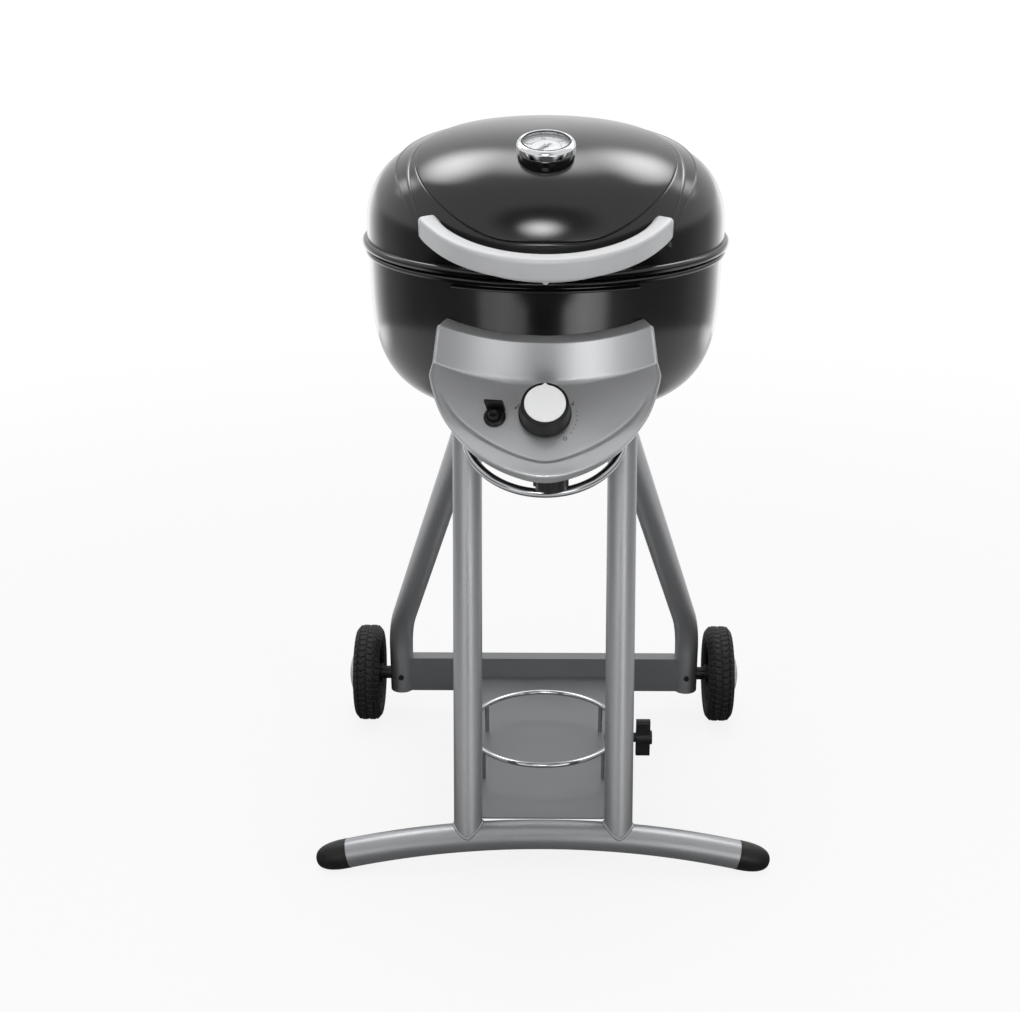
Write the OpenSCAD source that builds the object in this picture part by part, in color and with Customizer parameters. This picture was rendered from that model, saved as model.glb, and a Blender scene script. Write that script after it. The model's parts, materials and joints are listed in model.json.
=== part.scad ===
/* [Cooking head] */
// Height of the lid's lower edge above the floor
rim_z = 903.4; // [890:0.1:915]
// Outer radius of the lid wall
lid_r = 245; // [243:0.5:247]
// Outer radius of the rolled lip round the lid
lip_r = 252; // [250:0.5:255]
// Height of the rolled lip
lip_h = 11.6; // [9:0.2:14]
// Height of the lid dome above the lip
dome_h = 153; // [148:1:158]
// Height of each of the two steps pressed into the dome
step_h = 2.5; // [1.5:0.5:3]
// Radius of the smooth centre panel of the lid, seen from above
panel_r = 170; // [164:1:172]
// Radius of the step outside the centre panel, seen from above
terrace_r = 197; // [192:1:200]
// Thickness of the lid sheet
lid_t = 1.6; // [1.2:0.1:2]
// Outer radius of the bowl wall
bowl_r = 242; // [240:0.5:243]
// Height of the flat bottom of the bowl above the floor
bowl_bottom_z = 692; // [690:1:695]
// Thickness of the bowl sheet
bowl_t = 1.8; // [1.5:0.1:2.2]
// Half the width of the front panel on the bowl
front_panel_half = 110; // [95:1:115]

/* [Lid fittings] */
// Furthest forward reach of the handle's centre line from the bowl axis
handle_reach = 291; // [288:1:294]
// Half the distance between the handle's ends
handle_half = 148; // [146:1:150]
// Depth of the handle bar
handle_depth = 21; // [14:0.5:22]
// Height of the handle bar
handle_tall = 27; // [24:0.5:28]
// Outer diameter of the thermometer bezel
gauge_d = 75; // [72:1:78]
// Distance of the thermometer in front of the bowl axis
gauge_out = 160; // [155:1:165]
// Diameter of the hinge pin
hinge_pin_d = 8; // [7:0.5:9]

/* [Control panel] */
// Radius of the panel's crease round the bowl axis
crease_r = 264; // [262:0.5:266]
// Height of the panel's crease
crease_z = 778; // [775:1:780]
// Height of the panel's top edge
panel_top_z = 838; // [835:1:840]
// Radius of the panel's foremost point round the bowl axis
panel_tip_r = 356.5; // [354:0.5:358]
// Thickness of the panel sheet
panel_t = 2.5; // [2:0.1:3]
// Diameter of the knob's skirt
knob_d = 66; // [62:1:68]
// Height of the knob
knob_h = 29; // [26:1:31]
// How far the knob pushes in before it turns
knob_push = 3.5; // [2.5:0.5:4]
// How far the igniter button travels
button_push = 5; // [3:0.5:5.5]
// Turn of the igniter round the bowl axis from the middle of the panel
igniter_turn = 12; // [11:0.5:13]

/* [Cart frame] */
// Diameter of the front leg tube
front_tube_d = 42; // [40:0.5:42.5]
// Diameter of the rear leg tube
rear_tube_d = 40; // [38:0.5:41]
// Wall of every tube
tube_t = 1.5; // [1.2:0.1:2]
// Half the distance between the front legs
front_leg_half = 110.5; // [108:0.5:113]
// Half the distance between the rear legs
rear_leg_half = 248; // [246:0.5:250]
// Backward lean of the front legs from upright
leg_lean = 12.8; // [12:0.1:13.5]
// Distance of the foot tube in front of the bowl axis
foot_out = 170; // [165:1:175]
// Height of the middle of the arched foot tube
foot_mid_z = 58; // [57:0.5:59]
// How far the foot tube drops from its middle to its ends
foot_sag = 33.5; // [33:0.1:34]
// Half the length of the foot tube between its caps
foot_half = 288; // [280:1:292]
// Length of each foot cap outside the tube
cap_len = 49; // [44:1:52]
// Height of the top face of the bottom shelf
shelf_z = 80; // [78:1:82]
// Half the width of the bottom shelf
shelf_half = 130; // [126:1:132]
// Centre-line radius of the gas cylinder ring
ring_r = 117.4; // [115:0.2:119]
// Height of the gas cylinder ring
ring_z = 127.5; // [124:0.5:130]
// Distance of the cylinder ring behind the bowl axis
ring_back = 27; // [24:1:30]

/* [Wheels] */
// Outer radius of the tyres
tyre_r = 83.4; // [82:0.2:85]
// Width of the tyres
tyre_w = 44; // [42:1:46]
// Distance of the axles behind the bowl axis
wheel_back = 301; // [298:1:304]
// Distance of the tyre's inner side from the middle of the cart
wheel_in = 282; // [281:0.5:284]
// Number of tread blocks on each shoulder of a tyre
tread_count = 26; // [18:1:30]
// Diameter of the axles
axle_d = 10; // [9:0.5:11]

/* [Hidden] */
$fn = 96;
fine = 256;
eps = 0.02;
big = 2000;
run_gap = 0.05;
cut_len = 40;
outline_steps = 22;
screw_d = 5;
bolt_d = 6;
bolt_hole_d = 6.4;

axis_y = (panel_tip_r - wheel_back - tyre_r) / 2;

silver_paint = "#85878a";
panel_silver = "#a3a5a8";
handle_silver = "#c2c3c5";
gloss_black = "#141516";
matt_black = "#1d1d1f";
chrome_grey = "#cfd2d6";
brass_yellow = "#b8924a";
enamel_black = "#232426";

// Dome and bowl outlines as superellipses
dome_p = 2.35;
dome_q = 2.9;
bowl_p = 4.6;
bowl_q = 3.7;
lip_top_z = rim_z + lip_h;
bowl_top_z = rim_z - 5.4;
bowl_depth = bowl_top_z - 690;
bead_r = 4;
front_panel_turn = asin(front_panel_half / bowl_r);
panel_back = 74;
terrace_back = 68;
terrace_from = 948;

// Points of a superellipse quarter from the rim to the axis
function quarter(r, h, p, q, n) = [
    for (i = [0 : n])
    let (a = 90 * i / n)
    [r * pow(cos(a), 2 / p), h * pow(sin(a), 2 / q)]
];
function dome_height(r) = lip_top_z + dome_h * pow(1 - pow(r / lid_r, dome_p), 1 / dome_q);

// Hinge line behind the rim
hinge_y = 272;
hinge_z = rim_z + 2;
ear_t = 4;
ear_r = 10;
ear_side = 9;
ear_up = 4;
bowl_ear_x = 36;
lid_ear_x = 31;

// Handle arc in a plane that falls towards the front
handle_front_z = 928;
handle_end_y = 191.5;
handle_end_z = 960;
handle_tilt = atan((handle_end_z - handle_front_z) / (handle_reach - handle_end_y));
handle_sag = (handle_reach - handle_end_y) / cos(handle_tilt);
handle_r = (handle_half * handle_half + handle_sag * handle_sag) / (2 * handle_sag);
handle_span = asin(handle_half / handle_r);
handle_turn = atan2(handle_half, handle_end_y);

// Thermometer seat on the dome
gauge_tilt = 16;
gauge_z = dome_height(gauge_out);
dial_z = 9;
needle_z = 11;
glass_z = 15;
dial_r = gauge_d / 2 - 6.6;
needle_post_d = 3;

// Control panel outline, seen from above: a bottom arc between two side arcs
shield_bottom_r = 100;
shield_side_r = 170;
shield_half = 151;
shield_turn = asin((shield_side_r - shield_half) / (shield_side_r - shield_bottom_r));
shield_bottom_y = -(panel_tip_r - shield_bottom_r);
shield_side_x = (shield_side_r - shield_bottom_r) * sin(shield_turn);
shield_side_y = shield_bottom_y + (shield_side_r - shield_bottom_r) * cos(shield_turn);
panel_top_half = 137;
border_w = 10;
border_drop = 11;
border_h = 3.2;
skirt_depth = 15;
band_lean = 2;

// Knob and igniter seats on the sloping face
seat_tilt = 45;
crease_k = tan(seat_tilt / 2);
knob_r = 297;
knob_z = crease_z - (knob_r - crease_r);
igniter_r = 300;
igniter_z = crease_z - (igniter_r - crease_r);
knob_gap = knob_push + 1.5;
button_r = 8;
button_root = 9;
stem_d = 8;
plug_d = 16;
plug_low = -49.5;
plug_room = 36;
disc_sunk = 1.5;
housing_d = 26;
outlet_s = 27;
venturi_z = knob_z - outlet_s * sin(seat_tilt);
venturi_front_y = -238;
inlet_x = 8;
inlet_y = -256;
coupling_top_z = 662;
coupling_h = 28;
coupling_bore_r = 16.65;

// Frame lines
foot_d = front_tube_d + 1;
foot_arc_r = (foot_half * foot_half + foot_sag * foot_sag) / (2 * foot_sag);
foot_span = asin(foot_half / foot_arc_r);
foot_leg_z = foot_mid_z - foot_arc_r + sqrt(foot_arc_r * foot_arc_r - front_leg_half * front_leg_half);
leg_top_z = 686;
plate_t = 3;
function leg_y(z) = -foot_out + (z - foot_leg_z) * tan(leg_lean);
rear_foot_z = 53;
rear_top_z = 642;
rear_bend_z = 173;
rear_bend_r = 120;
rear_dx = front_leg_half - rear_leg_half;
rear_dy = leg_y(rear_top_z) - wheel_back;
rear_run = sqrt(rear_dx * rear_dx + rear_dy * rear_dy);
rear_bend = atan(rear_run / (rear_top_z - rear_bend_z));
rear_heading = atan2(rear_dy, rear_dx);
rear_tangent = rear_bend_r * tan(rear_bend / 2);
crossbar_z = 54;
crossbar_h = 62;
crossbar_depth = 24;
shelf_t = 2;
shelf_hole_len = 30;
rail_r = front_leg_half;
rail_d = 13;
rail_tilt = 27.6;
rail_in = 9;
rail_z = 641;

// Grate and burner levels inside the bowl
tab_z = 856;
emitter_r = 233;
emitter_t = 1.5;
grate_r = 229;
grate_wire_r = 4;
grate_pitch = 15.5;
burner_r = 80;
burner_tube_r = 11;
cup_y = 80;
cup_r = 39;
cup_rim_r = 46;
cup_rim_z = 674;

// Wheel hub on its axle
hub_rim_r = 55;
hub_in = 1;
hub_proud = 4;
hub_float = 0.3;

// Clamp screw beside the cylinder ring
clamp_z = 110;
clamp_plate_t = 3;
clamp_screw_d = 8;
pad_tip_x = 96;
pad_len = 8.5;
pad_floor = 3;
clamp_neck_d = 6;
clamp_float = 0.5;
clamp_end_x = 152.5;

// Every piece is drawn round the bowl axis and then set back so that the origin is mid-way front to back
module placed() {
    translate([0, axis_y, 0]) children();
}

// Right-hand pieces are drawn at +X, left-hand ones are their mirror images
module side(s) {
    mirror([s < 0 ? 1 : 0, 0, 0]) children();
}

module ring(d, t) {
    difference() {
        circle(d = d);
        circle(d = d - 2 * t);
    }
}

module rounded_rect(w, h, r) {
    square([w - 2 * r, h], center = true);
    square([w, h - 2 * r], center = true);
    for (x = [-1, 1], y = [-1, 1])
        translate([x * (w / 2 - r), y * (h / 2 - r)]) circle(r = r);
}

module along_x(x) {
    translate([x, 0, 0]) rotate([0, 90, 0]) children();
}

// Foot tube

module on_foot_arc() {
    translate([0, -foot_out, foot_mid_z - foot_arc_r]) children();
}

module foot_sweep(half_angle) {
    on_foot_arc()
        rotate([90, 0, 0])
            rotate([0, 0, 90 - half_angle])
                rotate_extrude(angle = 2 * half_angle, $fn = fine)
                    translate([foot_arc_r, 0]) children();
}

module foot_tube() {
    color(silver_paint) placed() foot_sweep(foot_span) ring(foot_d, tube_t);
}

module foot_cap(s) {
    plug_len = 22;
    plug_gap = 0.3;
    lap = 0.3;
    nose = 2.6;
    points = 10;
    outline = quarter(foot_d / 2 + lap, cap_len, nose, nose, points);
    color(matt_black) placed() side(s)
        intersection() {
            on_foot_arc()
                rotate([0, foot_span, 0])
                    translate([0, 0, foot_arc_r])
                        rotate([0, 90, 0]) {
                            rotate_extrude() polygon(concat([[0, 0]], outline));
                            translate([0, 0, -plug_len])
                                cylinder(d = foot_d - 2 * (tube_t + plug_gap), h = plug_len + eps);
                        }
            translate([0, -big / 2, 0]) cube(big);
        }
}

module foot_cap_left() { foot_cap(-1); }
module foot_cap_right() { foot_cap(1); }

// Legs

module leg_line(d, top_z) {
    spare = 60;
    leg_len = (top_z + spare - foot_leg_z) / cos(leg_lean);
    translate([front_leg_half, -foot_out, foot_leg_z])
        rotate([-leg_lean, 0, 0]) cylinder(d = d, h = leg_len);
}

module front_leg(s) {
    bore_spare = 10;
    notch = 20;
    color(silver_paint) placed() side(s)
        difference() {
            leg_line(front_tube_d, leg_top_z);
            leg_line(front_tube_d - 2 * tube_t, leg_top_z + bore_spare);
            foot_sweep(foot_span - 1) circle(d = foot_d + eps);
            translate([0, -big / 2, leg_top_z]) cube(big);
            on_rail() translate([rail_r, -notch, 0])
                rotate([-90, 0, 0]) cylinder(d = rail_d + eps, h = notch + rail_in);
        }
}

module front_leg_left() { front_leg(-1); }
module front_leg_right() { front_leg(1); }

// A rear leg in the plane of its bend, upright part first, with the bend a little thicker than the tube
module rear_leg_tube() {
    upright = rear_bend_z - rear_tangent - rear_foot_z;
    slope_len = rear_run / sin(rear_bend) - rear_tangent;
    bend_extra = 0.1;
    translate([rear_leg_half, wheel_back, rear_foot_z]) rotate([0, 0, rear_heading]) {
        linear_extrude(height = upright + eps) ring(rear_tube_d, tube_t);
        translate([rear_bend_r, 0, upright])
            rotate([90, 0, 0])
                rotate([0, 0, 180 - rear_bend])
                    rotate_extrude(angle = rear_bend, $fn = fine)
                        translate([rear_bend_r, 0])
                            ring(rear_tube_d + 2 * bend_extra, tube_t + 2 * bend_extra);
        translate([rear_bend_r * (1 - cos(rear_bend)), 0, upright + rear_bend_r * sin(rear_bend)])
            rotate([0, rear_bend, 0]) translate([0, 0, -eps])
                linear_extrude(height = slope_len + eps) ring(rear_tube_d, tube_t);
    }
}

module rear_leg(s) {
    slot_z = 440;
    slot_w = 4.5;
    slot_len = 9;
    slot_turn = 25;
    slot_s = (rear_top_z - slot_z) / (rear_top_z - rear_bend_z);
    slot_at = [front_leg_half - slot_s * rear_dx, leg_y(rear_top_z) - slot_s * rear_dy, slot_z];
    color(silver_paint) placed() side(s)
        difference() {
            rear_leg_tube();
            leg_line(front_tube_d + eps, leg_top_z);
            translate([0, wheel_back, tyre_r]) along_x(rear_leg_half) cylinder(d = axle_d + eps, h = cut_len);
            translate([rear_leg_half, wheel_back, tyre_r])
                rotate([90, 0, 0]) cylinder(d = screw_d + eps, h = cut_len);
            translate(slot_at) rotate([0, -90, slot_turn]) {
                cylinder(d = slot_w, h = cut_len);
                translate([slot_len, 0, 0]) cylinder(d = slot_w, h = cut_len);
                translate([0, -slot_w / 2, 0]) cube([slot_len, slot_w, cut_len]);
            }
        }
}

module rear_leg_left() { rear_leg(-1); }
module rear_leg_right() { rear_leg(1); }

module rear_crossbar() {
    half = rear_leg_half;
    inner_depth = crossbar_depth - 2 * tube_t;
    color(silver_paint) placed()
        difference() {
            translate([-half, wheel_back - crossbar_depth / 2, crossbar_z])
                cube([2 * half, crossbar_depth, crossbar_h]);
            translate([-half - 1, wheel_back - inner_depth / 2, crossbar_z + tube_t])
                cube([2 * half + 2, inner_depth, crossbar_h - 2 * tube_t]);
            for (s = [-1, 1])
                translate([s * half, wheel_back, 0])
                    cylinder(d = rear_tube_d + eps, h = crossbar_z + 2 * crossbar_h);
            at_shelf_screws() cylinder(d = screw_d + eps, h = shelf_hole_len, center = true);
        }
}

// Bottom shelf and cylinder ring

module at_shelf_screws() {
    apart = 80;
    drop = 14;
    for (x = [-apart, apart])
        translate([x, wheel_back - crossbar_depth / 2, shelf_z - drop]) rotate([90, 0, 0]) children();
}

module bottom_shelf() {
    flange = 20;
    tuck = 10;
    leg_gap = 2;
    leg_reach = 200;
    notch_w = 25;
    notch_deep = 21;
    front_y = -foot_out + tuck;
    rear_y = wheel_back - crossbar_depth / 2;
    color(silver_paint) placed()
        difference() {
            translate([-shelf_half, front_y, shelf_z - flange])
                cube([2 * shelf_half, rear_y - front_y, flange]);
            translate([-shelf_half + shelf_t, front_y - 1, shelf_z - flange - 1])
                cube([2 * (shelf_half - shelf_t), rear_y - front_y + 1 - shelf_t, flange + 1 - shelf_t]);
            foot_sweep(foot_span - 1) circle(d = foot_d + eps);
            for (s = [-1, 1]) side(s) leg_line(front_tube_d + leg_gap, leg_reach);
            for (s = [-1, 1])
                translate([s * (shelf_half + 1) - notch_w, front_y - 1, 0])
                    cube([2 * notch_w, notch_deep + 1, big]);
            at_shelf_screws() cylinder(d = screw_d + eps, h = shelf_hole_len, center = true);
        }
}

module shelf_screws() {
    shank = 10;
    head_d = 10;
    head_h = 3;
    color(chrome_grey) placed() at_shelf_screws() {
        translate([0, 0, -shank]) cylinder(d = screw_d, h = shank + shelf_t + eps);
        translate([0, 0, shelf_t]) cylinder(d = head_d, h = head_h);
    }
}

module cylinder_ring() {
    wire = 8;
    post_d = 7;
    post_x = 92;
    post_y = sqrt(ring_r * ring_r - post_x * post_x);
    color(chrome_grey) placed() translate([0, ring_back, 0]) {
        translate([0, 0, ring_z]) rotate_extrude() translate([ring_r, 0]) circle(d = wire);
        for (x = [-1, 1], y = [-1, 1])
            translate([x * post_x, y * post_y, shelf_z]) cylinder(d = post_d, h = ring_z - shelf_z);
    }
}

module on_clamp() {
    translate([0, ring_back, clamp_z]) children();
}

module clamp_bracket() {
    foot_drop = clamp_z - shelf_z + 18;
    head_r = 13;
    boss_d = 16;
    boss_h = 6;
    color(silver_paint) placed() on_clamp()
        difference() {
            union() {
                along_x(shelf_half) cylinder(r = head_r, h = clamp_plate_t);
                translate([shelf_half, -head_r, -foot_drop]) cube([clamp_plate_t, 2 * head_r, foot_drop]);
                along_x(shelf_half + clamp_plate_t - eps) cylinder(d = boss_d, h = boss_h);
            }
            along_x(shelf_half - 1) cylinder(d = clamp_screw_d + 2 * run_gap, h = cut_len);
        }
}

module clamp_pad() {
    lead = 1.5;
    lead_d = 10;
    pad_d = 14;
    color(matt_black) placed() on_clamp()
        difference() {
            along_x(pad_tip_x) {
                cylinder(d = lead_d, h = lead);
                translate([0, 0, lead]) cylinder(d = pad_d, h = pad_len - lead);
            }
            along_x(pad_tip_x + pad_floor) cylinder(d = clamp_neck_d, h = pad_len);
        }
}

module clamp_screw() {
    neck_x = pad_tip_x + pad_floor + clamp_float;
    shoulder_x = pad_tip_x + pad_len + clamp_float;
    color(chrome_grey) placed() on_clamp() {
        along_x(neck_x) cylinder(d = clamp_neck_d - 2 * run_gap, h = shoulder_x - neck_x + 1);
        along_x(shoulder_x) cylinder(d = clamp_screw_d, h = clamp_end_x - shoulder_x);
    }
}

module clamp_knob() {
    hub_x = clamp_end_x - 6.5;
    hub_d = 22;
    thick = 22;
    crown = 3;
    wing = 62;
    wing_w = 14;
    wing_r = 5;
    collar = 4;
    collar_d = 15;
    color(matt_black) placed() on_clamp()
        difference() {
            union() {
                along_x(hub_x) cylinder(d = hub_d, h = thick + crown);
                translate([hub_x + thick / 2, 0, 0])
                    rotate([0, 90, 0])
                        linear_extrude(height = thick, center = true) rounded_rect(wing, wing_w, wing_r);
                along_x(hub_x - collar) cylinder(d = collar_d, h = collar + 1);
            }
            along_x(hub_x - collar - 1) cylinder(d = clamp_screw_d, h = clamp_end_x - hub_x + collar + 1.5);
        }
}

// Wheels

module on_axle(s) {
    side(s) translate([0, wheel_back, tyre_r]) along_x(0) children();
}

module axle(s) {
    root_x = rear_leg_half - 12;
    end_x = wheel_in + tyre_w + hub_proud + 1;
    head_d = 17;
    head_h = 4.5;
    color(chrome_grey) placed() on_axle(s) {
        translate([0, 0, root_x]) cylinder(d = axle_d, h = end_x - root_x);
        translate([0, 0, wheel_in + tyre_w + hub_proud + hub_float]) cylinder(d = head_d, h = head_h);
    }
}

module axle_left() { axle(-1); }
module axle_right() { axle(1); }

module axle_spacers() {
    spacer_d = 22;
    start = rear_leg_half + 10;
    end = wheel_in - hub_in - hub_float;
    color(matt_black) placed()
        for (s = [-1, 1])
            difference() {
                on_axle(s) translate([0, 0, start]) cylinder(d = spacer_d, h = end - start);
                on_axle(s) translate([0, 0, start - 1]) cylinder(d = axle_d + eps, h = cut_len);
                translate([s * rear_leg_half, wheel_back, 0]) cylinder(d = rear_tube_d + eps, h = 4 * tyre_r);
            }
}

module axle_screws() {
    head_gap = 1.2;
    head_d = 9;
    head_h = 2.5;
    reach = rear_tube_d / 2 + head_gap - axle_d / 2;
    color(matt_black) placed()
        for (s = [-1, 1])
            translate([s * rear_leg_half, wheel_back - axle_d / 2, tyre_r]) rotate([90, 0, 0]) {
                cylinder(d = screw_d, h = reach);
                translate([0, 0, reach - eps]) cylinder(d = head_d, h = head_h);
            }
}

module tyre(s) {
    shoulder = 9;
    bead_in = 3;
    bead_tall = 8;
    groove_w = 5;
    groove_depth = 3.5;
    groove_len = 18;
    rib_w = 3;
    rib_depth = 2;
    wall = tyre_r - hub_rim_r - shoulder;
    color(matt_black) placed() on_axle(s) translate([0, 0, wheel_in])
        difference() {
            rotate_extrude() {
                translate([hub_rim_r, bead_in]) square([wall, tyre_w - 2 * bead_in]);
                translate([hub_rim_r, shoulder]) square([tyre_r - hub_rim_r, tyre_w - 2 * shoulder]);
                for (z = [shoulder, tyre_w - shoulder])
                    translate([tyre_r - shoulder, z]) circle(r = shoulder);
                translate([hub_rim_r + bead_tall, 0]) square([wall - bead_tall, tyre_w]);
            }
            for (k = [0 : tread_count - 1], e = [0, 1])
                rotate([0, 0, (k + e / 2) * 360 / tread_count])
                    translate([tyre_r - groove_depth, -groove_w / 2, e * (tyre_w - groove_len + 1) - 1])
                        cube([groove_depth + 1, groove_w, groove_len + 1]);
            translate([0, 0, tyre_w / 2])
                rotate_extrude() translate([tyre_r - rib_depth, -rib_w / 2]) square([2 * rib_depth, rib_w]);
        }
}

module tyre_left() { tyre(-1); }
module tyre_right() { tyre(1); }

module wheel_hub(s) {
    rim_t = 6;
    rim_in = 5;
    boss_r = 15;
    spokes = 6;
    spoke_w = 8;
    spoke_in = 10;
    web_in = 14;
    web_t = 3;
    color(enamel_black) placed() on_axle(s) translate([0, 0, wheel_in])
        difference() {
            union() {
                translate([0, 0, -hub_in]) cylinder(r = boss_r, h = hub_in + tyre_w + hub_proud);
                translate([0, 0, rim_in])
                    linear_extrude(height = tyre_w - 2 * rim_in) ring(2 * hub_rim_r, rim_t);
                for (k = [0 : spokes - 1])
                    rotate([0, 0, k * 360 / spokes])
                        translate([boss_r - 2, -spoke_w / 2, spoke_in])
                            cube([hub_rim_r - boss_r - rim_t + 4, spoke_w, tyre_w - 2 * spoke_in]);
                translate([0, 0, tyre_w - web_in]) cylinder(r = hub_rim_r - rim_t + 1, h = web_t);
            }
            translate([0, 0, -hub_in - 1]) cylinder(d = axle_d + 2 * run_gap, h = 2 * tyre_w);
        }
}

module wheel_hub_left() { wheel_hub(-1); }
module wheel_hub_right() { wheel_hub(1); }

module hubcap(s) {
    cap_r = 52;
    rise = 17;
    sheet = 1.5;
    sunk = 5;
    globe_r = (cap_r * cap_r + rise * rise) / (2 * rise);
    color(handle_silver) placed() on_axle(s) translate([0, 0, wheel_in + tyre_w - sunk])
        difference() {
            intersection() {
                translate([0, 0, rise - globe_r]) sphere(r = globe_r, $fn = fine);
                cylinder(r = cap_r, h = rise + 1);
            }
            translate([0, 0, rise - globe_r]) sphere(r = globe_r - sheet, $fn = fine);
        }
}

module hubcap_left() { hubcap(-1); }
module hubcap_right() { hubcap(1); }

// Rail and bowl seat

module on_rail() {
    translate([0, leg_y(rail_z) - front_tube_d / 2, rail_z]) rotate([rail_tilt, 0, 0]) children();
}

module towel_rail() {
    color(chrome_grey) placed() on_rail() {
        rotate([0, 0, 180])
            rotate_extrude(angle = 180, $fn = fine) translate([rail_r, 0]) circle(d = rail_d);
        for (x = [-1, 1])
            translate([x * rail_r, 0, 0]) rotate([-90, 0, 0]) cylinder(d = rail_d, h = rail_in);
    }
}

module at_bowl_bolts() {
    apart = 70;
    front_y = -48;
    rear_y = 8;
    for (x = [-apart, apart], y = [front_y, rear_y]) translate([x, y, bowl_bottom_z]) children();
}

module bowl_support_plate() {
    half_w = 150;
    channel_half = 85;
    front_y = -66;
    rear_y = 22;
    lip = 14;
    thick = bowl_bottom_z - leg_top_z;
    color(silver_paint) placed()
        difference() {
            union() {
                translate([-half_w, front_y, leg_top_z]) cube([2 * half_w, rear_y - front_y, thick]);
                for (y = [front_y, rear_y - plate_t])
                    translate([-channel_half, y, leg_top_z - lip]) cube([2 * channel_half, plate_t, lip + 1]);
            }
            translate([-channel_half, front_y + plate_t, leg_top_z - 1])
                cube([2 * channel_half, rear_y - front_y - 2 * plate_t, thick + 1 - plate_t]);
            at_bowl_bolts() cylinder(d = bolt_hole_d, h = cut_len, center = true);
        }
}

module bowl_bolts() {
    head_d = 12;
    head_h = 4;
    nut_h = 5;
    tail = 8;
    sides = 6;
    color(chrome_grey) placed() at_bowl_bolts() {
        translate([0, 0, bowl_t + eps]) cylinder(d = head_d, h = head_h, $fn = sides);
        translate([0, 0, -plate_t - tail]) cylinder(d = bolt_d, h = tail + plate_t + bowl_t + 1);
        translate([0, 0, -plate_t - nut_h - eps]) cylinder(d = head_d, h = nut_h, $fn = sides);
    }
}

// Bowl

module bowl_form(inset) {
    tall = 400;
    room = 10;
    outline = quarter(bowl_r - inset, bowl_depth - inset, bowl_p, bowl_q, outline_steps);
    intersection() {
        rotate_extrude($fn = fine)
            polygon(concat([[0, bowl_top_z]], [for (p = outline) [p[0], bowl_top_z - p[1]]]));
        translate([0, 0, bowl_bottom_z + inset]) cylinder(r = bowl_r + room, h = tall, $fn = fine);
    }
}

module bowl() {
    mouth = 20;
    venturi_hole_d = 25;
    drain_d = 14;
    color(gloss_black) placed()
        difference() {
            union() {
                bowl_form(0);
                translate([0, 0, bowl_top_z])
                    rotate_extrude() translate([bowl_r + bead_r - bowl_t, 0]) circle(r = bead_r);
            }
            bowl_form(bowl_t);
            translate([0, 0, bowl_top_z - 1]) cylinder(r = bowl_r - bowl_t, h = mouth);
            translate([0, 0, venturi_z]) rotate([90, 0, 0]) cylinder(d = venturi_hole_d, h = bowl_r);
            translate([0, cup_y, bowl_bottom_z]) cylinder(d = drain_d, h = cut_len, center = true);
            at_bowl_bolts() cylinder(d = bolt_hole_d, h = cut_len, center = true);
        }
}

module front_sector(half_angle) {
    rotate([0, 0, -90 - half_angle])
        rotate_extrude(angle = 2 * half_angle, $fn = fine) children();
}

module bowl_front_panel() {
    low_z = 796;
    under_bead = 2.5;
    skin = 2.5;
    seam = 0.2;
    roll_r = 2.2;
    high_z = bowl_top_z - bead_r - under_bead;
    color(gloss_black) placed()
        front_sector(front_panel_turn) {
            translate([bowl_r + seam, low_z]) square([skin, high_z - low_z]);
            translate([bowl_r + seam + roll_r, high_z - roll_r]) circle(r = roll_r);
        }
}

module grate_supports() {
    turn = 6;
    tab_t = 2;
    tab_reach = 16;
    root_t = 2.5;
    root_h = 20;
    sunk = 4;
    wall_r = bowl_r - bowl_t;
    color(enamel_black) placed()
        intersection() {
            for (a = [45 : 90 : 315])
                rotate([0, 0, a - turn / 2]) rotate_extrude(angle = turn, $fn = fine) {
                    translate([wall_r - tab_reach, tab_z - tab_t]) square([tab_reach + sunk, tab_t]);
                    translate([wall_r - root_t, tab_z - root_h]) square([root_t + sunk, root_h]);
                }
            bowl_form(bowl_t + eps);
        }
}

module heat_emitter() {
    crown_r = 60;
    crown_h = 6;
    dish_r = 208;
    dish_z = 838;
    step_r = 218;
    slots = 18;
    slot_w = 5;
    slot_len = 38;
    slot_rows = [95, 160];
    color(chrome_grey) placed()
        difference() {
            rotate_extrude()
                polygon([
                    [0, dish_z + crown_h], [crown_r, dish_z], [dish_r, dish_z], [step_r, tab_z],
                    [emitter_r, tab_z], [emitter_r, tab_z + emitter_t], [step_r - 1, tab_z + emitter_t],
                    [dish_r - 1, dish_z + emitter_t], [crown_r, dish_z + emitter_t],
                    [0, dish_z + crown_h + emitter_t]
                ]);
            for (k = [0 : slots - 1], row = [0, 1])
                rotate([0, 0, (k + row / 2) * 360 / slots])
                    translate([slot_rows[row], -slot_w / 2, dish_z - slot_w])
                        cube([slot_len, slot_w, cut_len / 2]);
        }
}

module cooking_grate() {
    bar_w = 5;
    bar_h = 8;
    bar_up = 2;
    edge = 12;
    cross_y = 95;
    cross_w = 6;
    cross_h = 5;
    last = floor((grate_r - edge) / grate_pitch);
    low_z = tab_z + emitter_t;
    color(enamel_black) placed() {
        translate([0, 0, low_z + grate_wire_r])
            rotate_extrude() translate([grate_r, 0])
                square([2 * grate_wire_r - 2, 2 * grate_wire_r], center = true);
        intersection() {
            union() {
                for (k = [-last : last])
                    translate([k * grate_pitch - bar_w / 2, -grate_r, low_z + bar_up])
                        cube([bar_w, 2 * grate_r, bar_h]);
                for (y = [-cross_y, cross_y])
                    translate([-grate_r, y - cross_w / 2, low_z]) cube([2 * grate_r, cross_w, cross_h]);
            }
            cylinder(r = grate_r - 1, h = big);
        }
    }
}

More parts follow.
